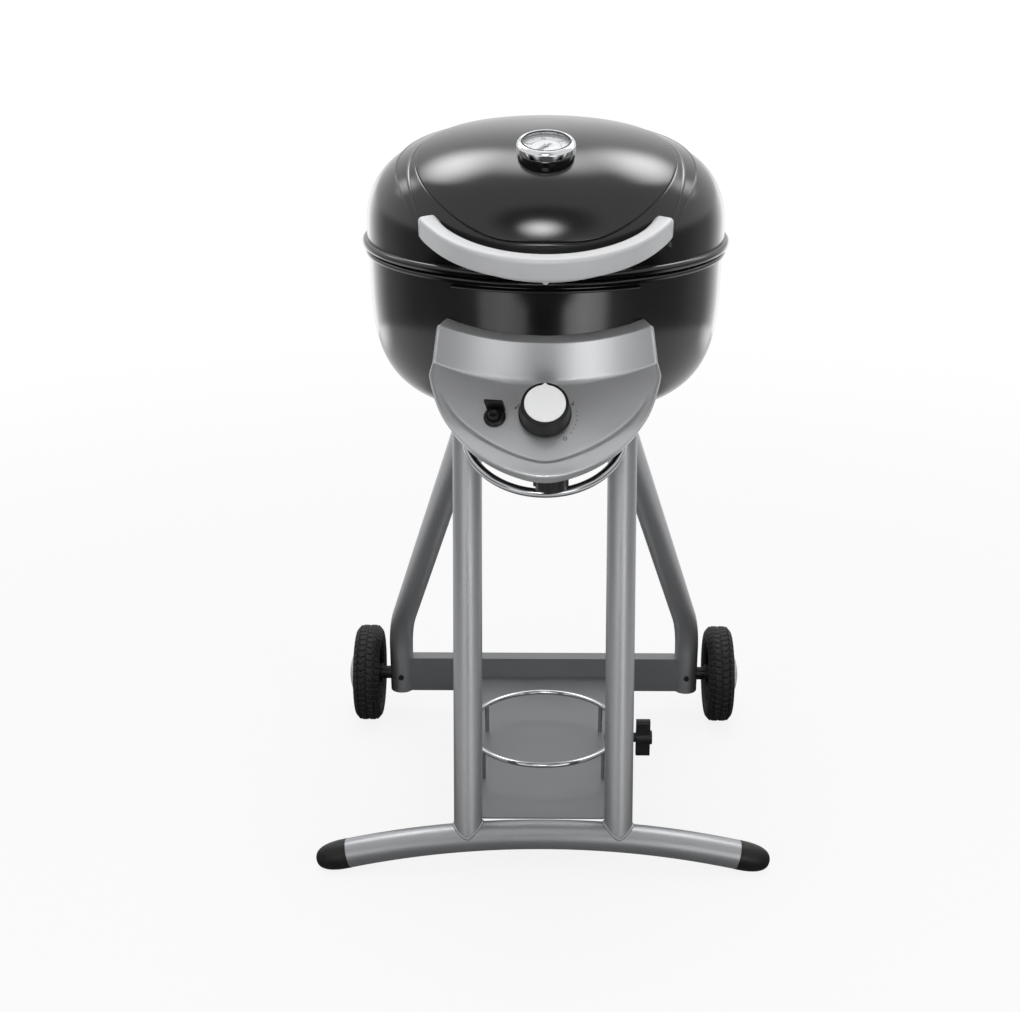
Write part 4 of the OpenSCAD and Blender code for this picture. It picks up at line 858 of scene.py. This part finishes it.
def knobShape():
    low, high = knob["gap"], knob["gap"] + knob["tall"]
    skirt, top, disc = pick(knob, "skirt", "top", "disc")
    line = [(5, low + 3), (skirt - 3.5, low + 3), (skirt - 3, low), (skirt, low), (skirt, low + 4),
            (knob["waist"], low + 6), (top + 0.9, high - 4), (top + 0.2, high - 1.2), (top - 1.6, high),
            (disc + 0.4, high), (disc + 0.2, high - 1.4)]
    line = softLine(line, [0, 0.4, 0.5, 0.8, 1.4, 1.4, 1.0, 1.2, 1.2, 0.3, 0], 3)
    return lathe(line + [(0, high - 1.5)], 144)


def discShape():
    low = knob["gap"] + knob["tall"] - 1.6
    high = low + knob["discTall"]
    half = degrees(asin(knob["tipHalf"] / knob["disc"]))
    rim = arcLine(0, 0, knob["disc"], 90 + half, 450 - half, 96)
    rim += [(0.5, knob["tip"] - 0.15), (0, knob["tip"]), (-0.5, knob["tip"] - 0.15)]
    levels = [(1.0, low), (1.0, high - 0.4), (0.985, high)]
    levels += [(share, high + 0.15 * (1 - share)) for share in (0.75, 0.4, 0.1)]
    return loft([[(x * share, y * share, z) for x, y in rim] for share, z in levels])


makePiece("controlKnob", knobShape(), "knob", "knobPlastic", ["control_knob"], knobSeat)
makePiece("knobFace", discShape(), "knob", "whitePrint", ["knob_face"], knobSeat)

igniter = dict(out=300.0, up=742.0, collar=14.0, collarTall=5.0, button=8.0, root=9.0, top=12.0,
    floor=-16.0, barrel=13.0, barrelDeep=32.0, guardWide=23.5, guardThick=4.0, guardBack=9.0,
    guardTall=23.0, guardSoft=1.0)
igniterPush = Vector(joints["igniter_press"]["axis"])
igniterTurn = atan2(-igniterPush.x, igniterPush.y)
igniterOut = Vector((sin(igniterTurn) * igniter["out"], -cos(igniterTurn) * igniter["out"], igniter["up"]))
igniterSeat = seatPlace(bowlAxis + igniterOut * mm, -igniterPush)


def collarShape():  # a socket for the button, with a guard above it
    barrel, deep, collar, tall = pick(igniter, "barrel", "barrelDeep", "collar", "collarTall")
    button, floor = pick(igniter, "button", "floor")
    line = [(barrel - 3, -deep), (barrel, -deep), (barrel, 0.4), (collar, 0.4), (collar, 3.0),
            (collar - 2.2, tall), (button + 0.8, tall), (button + 0.1, tall - 1), (button + 0.1, floor),
            (0, floor)]
    line = softLine(line, [0, 1, 0.3, 0.6, 1.6, 1.6, 0.6, 0.3, 0, 0], 4)
    wide, thick, high, soft = pick(igniter, "guardWide", "guardThick", "guardTall", "guardSoft")
    rings = []
    for z, less in ((0.4, 0), (high - soft, 0), (high - 0.3 * soft, 0.3 * soft), (high, soft)):
        rim = roundedRect(wide - 2 * less, thick - 2 * less, 1.0, 4)
        rings.append([(x, y + igniter["guardBack"] + thick / 2, z) for x, y in rim])
    return joined(lathe(line, 72), loft(rings))


def buttonShape():
    out, root, top = igniter["button"], -igniter["root"], igniter["top"]
    line = [(0, root), (out - 0.05, root), (out - 0.05, top - 4.6), (out - 2.2, top - 1.2),
            (out - 5, top - 1.9)]
    line = softLine(line, [0, 0.4, 1.2, 2.4, 0], 5)
    return lathe(line + [(2.4, top - 2.3), (1.2, top - 2.4), (0, top - 2.45)], 72)


makePiece("igniterCollar", collarShape(), "frame", "knobPlastic", ["igniter_housing"],
          igniterSeat)
makePiece("igniterButton", buttonShape(), "igniter_button", "knobPlastic",
          ["igniter_button"], igniterSeat)

marks = dict(left=(-34.3, 12.4), right=(34.4, 15.5), slant=62.0, line=1.2, arc=40.0, dots=6, dot=0.75,
    firstDot=8.0, lastDot=-36.0, ringAt=(25.0, -31.5), ring=2.1, ringHalf=0.45, tall=0.25, lift=0.12)


def dotShape(x, y, radius):
    tall = marks["tall"]
    return moved(lathe([(0, 0), (radius, 0), (radius, tall * 0.6), (radius * 0.8, tall), (0, tall)], 20),
                 Matrix.Translation((x, y, 0)))


def dashShape(x, y, long, wide, turn, tall):
    rim = roundedRect(long, wide, wide * 0.45, 3)
    rings = [[(px, py, z) for px, py in rim] for z in (0, tall)]
    return moved(loft(rings), Matrix.Translation((x, y, 0)) @ Matrix.Rotation(radians(turn), 4, "Z"))


def bandShape(inner, outer, tall, *turns):
    return lathe([(inner, 0), (outer, 0), (outer, tall), (inner, tall)], *turns, closed=True)


def onFace(shape):  # wraps a flat drawing round the sloping face, centred on the knob
    knobOut = -(Vector(knobJoint["pos_m"]) - bowlAxis).y / mm
    knobAlong = bandLong + (knobOut - face["creaseRadius"]) / sin(faceSlope)
    wrapped = []
    for x, y, z in shape[0]:
        r = knobOut - y * sin(faceSlope)
        wrapped.append(facePoint(x * face["creaseRadius"] / r, knobAlong - y, z + marks["lift"]))
    return wrapped, shape[1]


def marksShape():
    line, slant, tall = pick(marks, "line", "slant", "tall")
    x, y = marks["left"]
    shapes = [dashShape(x, y, 8.0, line, slant, tall), dashShape(x - 2.8, y - 2.5, 4.0, line, slant, tall)]
    x, y = marks["right"]
    shapes += [dotShape(x, y, 1.6), dashShape(x + 0.9, y + 2.2, 3.4, line, slant, tall)]
    for x, y in arcLine(0, 0, marks["arc"], marks["firstDot"], marks["lastDot"], marks["dots"] - 1):
        shapes.append(dotShape(x, y, marks["dot"]))
    ring = bandShape(marks["ring"] - marks["ringHalf"], marks["ring"] + marks["ringHalf"], tall, 28)
    shapes.append(moved(ring, Matrix.Translation((*marks["ringAt"], 0))))
    return onFace(joined(*shapes))


makePiece("settingMarks", marksShape(), "frame", "markInk")
print("knob, igniter and marks")


# lid handle: a bowed bar whose ends run into the lid, with a thin crescent lip below its middle

bar = dict(reach=291.0, half=148.0, frontZ=930.0, endY=191.5, endZ=960.0, deep=21.0, tall=29.0, corner=6.0,
    flare=0.16, flareFrom=0.80, endRound=3.5, steps=96, lipHalf=66.0, lipTall=2.6, lipDeep=12.0,
    lipSteps=40, nub=4.0, nubTall=2.6)
barTilt = atan2(bar["endZ"] - bar["frontZ"], bar["reach"] - bar["endY"])
barSag = (bar["reach"] - bar["endY"]) / cos(barTilt)
barArc = (bar["half"] ** 2 + barSag ** 2) / (2 * barSag)
barSpan = asin(bar["half"] / barArc)
barMid = Vector((0, -bar["reach"] + barArc * cos(barTilt), bar["frontZ"] + barArc * sin(barTilt)))
barBack = Vector((0, cos(barTilt), sin(barTilt)))
barUp = Vector((0, -sin(barTilt), cos(barTilt)))


def barPoint(turn, out, up, ahead=0.0):
    outDir = Vector((sin(turn), 0, 0)) - barBack * cos(turn)
    aheadDir = Vector((cos(turn), 0, 0)) + barBack * sin(turn)
    return tuple(barMid + outDir * (barArc + out) + barUp * up + aheadDir * ahead)


def handleShape():
    x, y, end = bar["deep"] / 2, bar["tall"] / 2, bar["endRound"]
    section = roundedRect(bar["deep"], bar["tall"], [4.0, 4.5, bar["corner"], bar["corner"]], 7)
    cap = [(end * (1 - sin(a)), end * cos(a)) for a in (radians(90 * k / 5) for k in range(6))]
    turns = [mix(-barSpan, barSpan, k / bar["steps"]) for k in range(bar["steps"] + 1)]

    def ring(turn, shrink=0.0, ahead=0.0):
        flared = smooth((abs(turn) / barSpan - bar["flareFrom"]) / (1 - bar["flareFrom"]))
        shareX = (bar["deep"] * (1 + bar["flare"] * flared) / 2 - shrink) / x
        shareY = (y - shrink) / y
        return [barPoint(turn, out * shareX, up * shareY, ahead) for out, up in section]

    rings = [ring(turns[0], shrink, -ahead) for shrink, ahead in cap]
    rings += [ring(turn) for turn in turns[1:-1]]
    rings += [ring(turns[-1], shrink, ahead) for shrink, ahead in cap[::-1]]
    return loft(rings)


def handleLipShape():
    span = asin(bar["lipHalf"] / barArc)
    under, out = -bar["tall"] / 2, bar["deep"] / 2 - 0.6
    back, top = out - bar["lipDeep"], under + 2.5
    rings = []
    for k in range(bar["lipSteps"] + 1):
        t = k / bar["lipSteps"]
        low = under - bar["lipTall"] * (1 - (2 * t - 1) ** 2) ** 0.8 - 0.05
        line = softLine([(back, top), (back, low), (out - 3.2, low), (out, top)], [0, 1.2, 2.2, 0], 4)
        rings.append([barPoint(mix(-span, span, t), x, y) for x, y in line])
    r, tall = pick(bar, "nub", "nubTall")
    nub, nubFaces = lathe([(0, 1.0), (r, 1.0), (r - 0.4, 1.2 - tall), (r - 1.4, -tall), (0, -tall)], 24)
    y, z = bar["deep"] / 2 - 6, under - bar["lipTall"]
    return joined(loft(rings), ([barPoint(p[0] / barArc, p[1] + y, z + p[2]) for p in nub], nubFaces))


makePiece("lidHandle", handleShape(), "lid", "handleSilver", ["lid_handle"], sharp=50)
makePiece("handleLip", handleLipShape(), "lid", "handleSilver", sharp=50)
print("lid handle")


# thermometer: black base, chrome bezel, white dial with its scale, grey pointer and a flat glass

needleJoint = joints["needle_swing"]
gaugeSeat = seatPlace(needleJoint["pos_m"], -Vector(needleJoint["axis"]))
gauge = dict(radius=37.5, top=18.0, dial=9.0, dialTall=1.0, dialRadius=30.8, needleUp=11.0,
    needleTurn=135.0, needleLong=22.5, needleTail=8.0, glassUp=15.0, scaleFrom=225.0, scaleTo=-25.0,
    ticks=41, perMajor=5, major=(26.2, 5.0, 0.75), minor=(27.4, 2.6, 0.4), bands=((28.9, 29.4), (18.4, 18.8)),
    ink=0.12, number=5.2, numberAt=21.6, firstNumber=100, numberStep=150, numbers=5)


def gaugePiece(name, shape, finish, stands=(), body="lid"):
    makePiece(name, shape, body, finish, stands, gaugeSeat)


def bezelShape():
    r, top, dial = pick(gauge, "radius", "top", "dial")
    line = [(r - 7.0, 4.6), (r - 3.0, 3.4), (r - 0.7, 4.0), (r, 6.0), (r, 13.2), (r - 0.9, 15.2),
            (r - 2.4, 17.0), (r - 4.2, top), (r - 5.4, top), (r - 6.2, top - 0.8), (r - 6.6, top - 2.4),
            (r - 6.6, dial), (0, dial - 0.6), (0, 4.6)]
    return lathe(softLine(line, [0, 1.2, 1.2, 1.6, 1.6, 1.2, 1.4, 0.8, 0.5, 0.5, 0.3, 0, 0, 0], 5), 144)


def baseShape():
    r = gauge["radius"]
    line = [(0, -5), (r - 4.4, -5), (r - 3.4, 2.0), (r - 2.6, 4.4), (0, 4.4)]
    return lathe(softLine(line, [0, 1, 2, 0.6, 0], 5), 120)


def sealShape():
    r, z = gauge["radius"] - 6.9, gauge["top"] - 0.8
    return lathe([(r + 1.1 * x, z + 0.9 * y) for x, y in circle(12)], 96, closed=True)


def dialShape():  # with the post that the pointer turns on
    r, z = gauge["dialRadius"], gauge["dial"]
    top = z + gauge["dialTall"]
    return lathe([(0, z), (r, z), (r, z + 0.8), (r - 0.3, top), (3, top), (1.45, z + 1.2), (1.4, z + 3.8),
                  (1.0, z + 4.1), (0, z + 4.1)], 96)


def scaleShape():
    ticks, ink = gauge["ticks"], gauge["ink"]
    shapes = []
    for k in range(ticks):
        turn = mix(gauge["scaleFrom"], gauge["scaleTo"], k / (ticks - 1))
        mid, long, wide = gauge["minor" if k % gauge["perMajor"] else "major"]
        shapes.append(dashShape(mid * cos(radians(turn)), mid * sin(radians(turn)), long, wide, turn, ink))
    for inner, outer in gauge["bands"]:
        shapes.append(bandShape(inner, outer, ink, 80, gauge["scaleTo"], gauge["scaleFrom"]))
    return moved(joined(*shapes), Matrix.Translation((0, 0, gauge["dial"] + gauge["dialTall"])))


def numberShape(text, turn):
    curve = bpy.data.curves.new("number", "FONT")
    curve.body = text
    curve.size = gauge["number"]
    curve.align_x, curve.align_y = "CENTER", "CENTER"
    curve.extrude = gauge["ink"] / 2
    carrier = bpy.data.objects.new("number", curve)
    mesh = bpy.data.meshes.new_from_object(carrier)
    shape = [tuple(v.co) for v in mesh.vertices], [list(p.vertices) for p in mesh.polygons]
    bpy.data.objects.remove(carrier)
    bpy.data.curves.remove(curve)
    bpy.data.meshes.remove(mesh)
    x, y = gauge["numberAt"] * cos(radians(turn)), gauge["numberAt"] * sin(radians(turn))
    return moved(shape, Matrix.Translation((x, y, gauge["dial"] + gauge["dialTall"] + 0.08)))


def numbersShape():
    shapes = []
    for k in range(gauge["numbers"]):
        turn = mix(gauge["scaleFrom"], gauge["scaleTo"], k / (gauge["numbers"] - 1))
        shapes.append(numberShape(str(gauge["firstNumber"] + gauge["numberStep"] * k), turn))
    return joined(*shapes)


def needleShape():
    long, tail = gauge["needleLong"], gauge["needleTail"]
    rim = [(-1.7, -tail), (1.7, -tail), (2.2, 0), (0.35, long), (-0.35, long), (-2.2, 0)]
    soft = softLine(rim, [0.6, 0.6, 1.0, 0.3, 0.3, 1.0], 3, closed=True)
    levels = ((1, 1, 0.1), (1, 1, 0.6), (0.6, 0.97, 0.9))
    pointer = loft([[(x * shareX, y * shareY, z) for x, y in soft] for shareX, shareY, z in levels])
    hub = lathe([(1.7, 0), (3.6, 0), (3.6, 0.9), (2.8, 1.3), (1.7, 1.3)], 40, closed=True)
    turn = Matrix.Rotation(radians(gauge["needleTurn"]), 4, "Z")
    return moved(joined(pointer, hub), Matrix.Translation((0, 0, gauge["needleUp"])) @ turn)


def glassShape():
    r, up = gauge["dialRadius"], gauge["glassUp"]
    line = [(0, 0), (r - 0.2, 0), (r, 0.3), (r, 1.1), (r - 0.5, 1.4), (r * 0.5, 1.75), (0, 1.85)]
    return lathe([(out, z + up) for out, z in line], 96)


gaugePiece("gaugeBase", baseShape(), "glossBlack")
gaugePiece("gaugeBezel", bezelShape(), "chromePlate", ["thermometer_case"])
gaugePiece("gaugeSeal", sealShape(), "sealBlackSeamShade")
gaugePiece("gaugeDial", dialShape(), "dialWhite", ["thermometer_dial"])
gaugePiece("gaugeScale", scaleShape(), "markInk")
gaugePiece("gaugeNumbers", numbersShape(), "markInk")
gaugePiece("gaugeNeedle", needleShape(), "needlePaint", ["thermometer_needle"], "needle")
gaugePiece("gaugeGlass", glassShape(), "gaugeGlass", ["thermometer_glass"])
print("thermometer")


# wheels: moulded tyres with a block tread, dished hubcaps

tyre = dict(wide=44.0, radius=83.4, bead=55.0, blocks=44, deep=2.2, perBlock=10, fine=1.6, lean=0.35,
    blockHalf=0.34, blockSoft=0.07, midHalf=0.9, midSoft=0.9, sideGroove=12.5, sideHalf=0.7, sideSoft=0.8,
    treadDown=15, treadFade=5)


def tyreShape():
    half, out, bead = tyre["wide"] / 2, tyre["radius"], tyre["bead"]
    crown = [(-half + 3, bead), (-half, bead + 8), (-half, out - 10), (-half + 7.5, out - 1.0),
             (half - 7.5, out - 1.0), (half, out - 10), (half, bead + 8), (half - 3, bead)]
    line = [Vector(p) for p in softLine(crown, [0, 3, 6, 7, 7, 6, 3, 0], 6)]
    fine = []
    for a, b in zip(line, line[1:]):
        parts = max(1, int((b - a).length / tyre["fine"]))
        fine += [a.lerp(b, k / parts) for k in range(parts)]
    fine.append(line[-1])

    def sunk(k, x, r):  # how deep the tread is cut here
        share = (k / tyre["perBlock"] + tyre["lean"] * abs(x) / half + (0.5 if x > 0 else 0.0)) % 1.0
        gapAcross = smooth((abs(share - 0.5) - tyre["blockHalf"]) / tyre["blockSoft"])
        gapMid = 1 - smooth((abs(x) - tyre["midHalf"]) / tyre["midSoft"])
        gapSide = 1 - smooth((abs(abs(x) - tyre["sideGroove"]) - tyre["sideHalf"]) / tyre["sideSoft"])
        onTread = smooth((r - (out - tyre["treadDown"])) / tyre["treadFade"])
        return tyre["deep"] * onTread * max(gapAcross, gapMid, gapSide)

    rings = []
    for k, (c, s) in enumerate(circle(tyre["blocks"] * tyre["perBlock"])):
        reach = [(r - sunk(k, x, r), x) for x, r in fine]
        rings.append([(r * c, r * s, x) for r, x in reach])
    return loft(rings, around=True)


hubcap = dict(radius=52.0, rise=17.0, start=39.0, sheet=1.5, steps=26, rimDip=0.9, rimFrom=40.5,
    rimFade=2.0, ringDip=0.5, ringAt=17, ringWide=1.6)


def hubcapShape():
    radius, rise = hubcap["radius"], hubcap["rise"]
    globe = (radius ** 2 + rise ** 2) / (2 * rise)
    line = [(radius - 1.6, 0), (radius, 0), (radius, 1.0)]
    for k in range(1, hubcap["steps"] + 1):
        r = radius * (1 - k / hubcap["steps"])
        dome = rise - globe + sqrt(globe ** 2 - r ** 2)
        dip = hubcap["rimDip"] * smooth((r - hubcap["rimFrom"]) / hubcap["rimFade"])
        dip += hubcap["ringDip"] * exp(-((r - hubcap["ringAt"]) / hubcap["ringWide"]) ** 2)
        line.append((r, max(0.8, dome - dip + 0.2)))
    under = [(r, z - hubcap["sheet"]) for r, z in line[4:]]
    return lathe(line + under[::-1] + [line[0]], 120)


for side, sign in (("left", -1), ("right", 1)):
    body = "wheel_" + side
    wheelSeat = seatPlace(Vector(joints[body + "_spin"]["pos_m"]), (sign, 0, 0))
    capPlace = wheelSeat @ Matrix.Translation((0, 0, hubcap["start"] - tyre["wide"] / 2))
    makePiece(side + "Tyre", tyreShape(), body, "tyreRubber", ["tyre_" + side], wheelSeat,
              sharp=55)
    makePiece(side + "Hubcap", hubcapShape(), body, "hubcapSilver", ["hubcap_" + side],
              capPlace)
print("wheels")


# weld beads where the front legs stand on the foot tube

weld = dict(lean=12.8, footArc=1254.7, bead=2.3, ripple=0.22, ripples=44, steps=176, sides=10)


def weldShape(side):
    footLow, footHigh = (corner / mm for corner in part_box("foot_tube"))
    legLow, legHigh = (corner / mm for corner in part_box("front_leg_" + side))
    tube = (footHigh.y - footLow.y) / 2
    leg = (legHigh.x - legLow.x) / 2
    arcMid = Vector((0, (footLow.y + footHigh.y) / 2, footHigh.z - tube - weld["footArc"]))
    legX = (legLow.x + legHigh.x) / 2
    start = arcMid + Vector((legX, 0, sqrt(weld["footArc"] ** 2 - legX ** 2)))
    lean = radians(weld["lean"])
    along = Vector((0, sin(lean), cos(lean)))
    across = Vector((0, cos(lean), -sin(lean)))

    def spot(turn):  # where the line up the leg at this turn leaves the foot tube
        out = Vector((cos(turn), 0, 0)) + across * sin(turn)
        low, high = 0.0, 3 * tube
        for _ in range(40):
            mid = (low + high) / 2
            p = start + out * leg + along * mid - arcMid
            if hypot(hypot(p.x, p.z) - weld["footArc"], p.y) < tube:
                low = mid
            else:
                high = mid
        return start + out * leg + along * low, out

    rings = []
    for k in range(weld["steps"]):
        turn = 2 * pi * k / weld["steps"]
        here, out = spot(turn)
        ahead = (spot(turn + 0.01)[0] - spot(turn - 0.01)[0]).normalized()
        rise = ahead.cross(out).normalized()
        bead = weld["bead"] + weld["ripple"] * sin(weld["ripples"] * turn)
        rings.append([tuple(here + (out * c + rise * s) * bead) for c, s in circle(weld["sides"])])
    return loft(rings, around=True)


for side in ("left", "right"):
    makePiece(side + "LegWeld", weldShape(side), "frame", "silverPaint",
              place=Matrix.Scale(mm, 4))
print("weld beads")


# finishes and softened edges for the pieces that come straight from the frame

nodeFinish = dict(
    silverPaint=["foot_tube", "front_leg_left", "front_leg_right", "rear_leg_left", "rear_leg_right",
                 "clamp_bracket", "bowl_support_plate", "grease_cup_hanger", "panel_brackets"],
    # the darkened silver paint: painted shade under the grill's head
    shadedSilverPaint=["rear_crossbar", "bottom_shelf"],
    glossBlack=["hinge_bracket", "lid_hinge_arm"],
    # the darkened chrome: painted shade in the reflections of the rail and ring
    shadedChrome=["towel_rail", "cylinder_ring"],
    zincSteel=["axle_left", "axle_right", "shelf_screws", "bowl_bolts", "hinge_pin", "handle_screws",
               "clamp_screw", "valve_stem", "thermometer_stem", "heat_emitter"],
    cupAluminium=["grease_cup"],
    brassFinish=["valve_body", "valve_plug"],
    blackPlastic=["foot_cap_left", "foot_cap_right", "clamp_knob", "clamp_pad", "axle_spacers",
                  "axle_screws", "wheel_hub_left", "wheel_hub_right", "gas_inlet_coupling"],
    castIron=["cooking_grate", "burner"],
    blackEnamel=["grate_supports"],
    ceramicWhite=["igniter_electrode"])
for finish, names in nodeFinish.items():
    for name in names:
        slots = nodes[name].data.materials
        slots.clear()
        slots.append(finishes[finish])

softened = dict(rear_crossbar=2.0, bottom_shelf=1.0, clamp_bracket=0.6, clamp_knob=1.6,
    bowl_support_plate=0.8, hinge_bracket=0.8, lid_hinge_arm=0.8, cooking_grate=0.9, gas_inlet_coupling=0.6,
    clamp_pad=0.5)
for name, width in softened.items():
    bevel = nodes[name].modifiers.new("softEdge", "BEVEL")
    bevel.width = width * mm
    bevel.segments = 3
    bevel.limit_method = "ANGLE"
    bevel.angle_limit = radians(40)
    bevel.harden_normals = False
print("frame pieces finished")
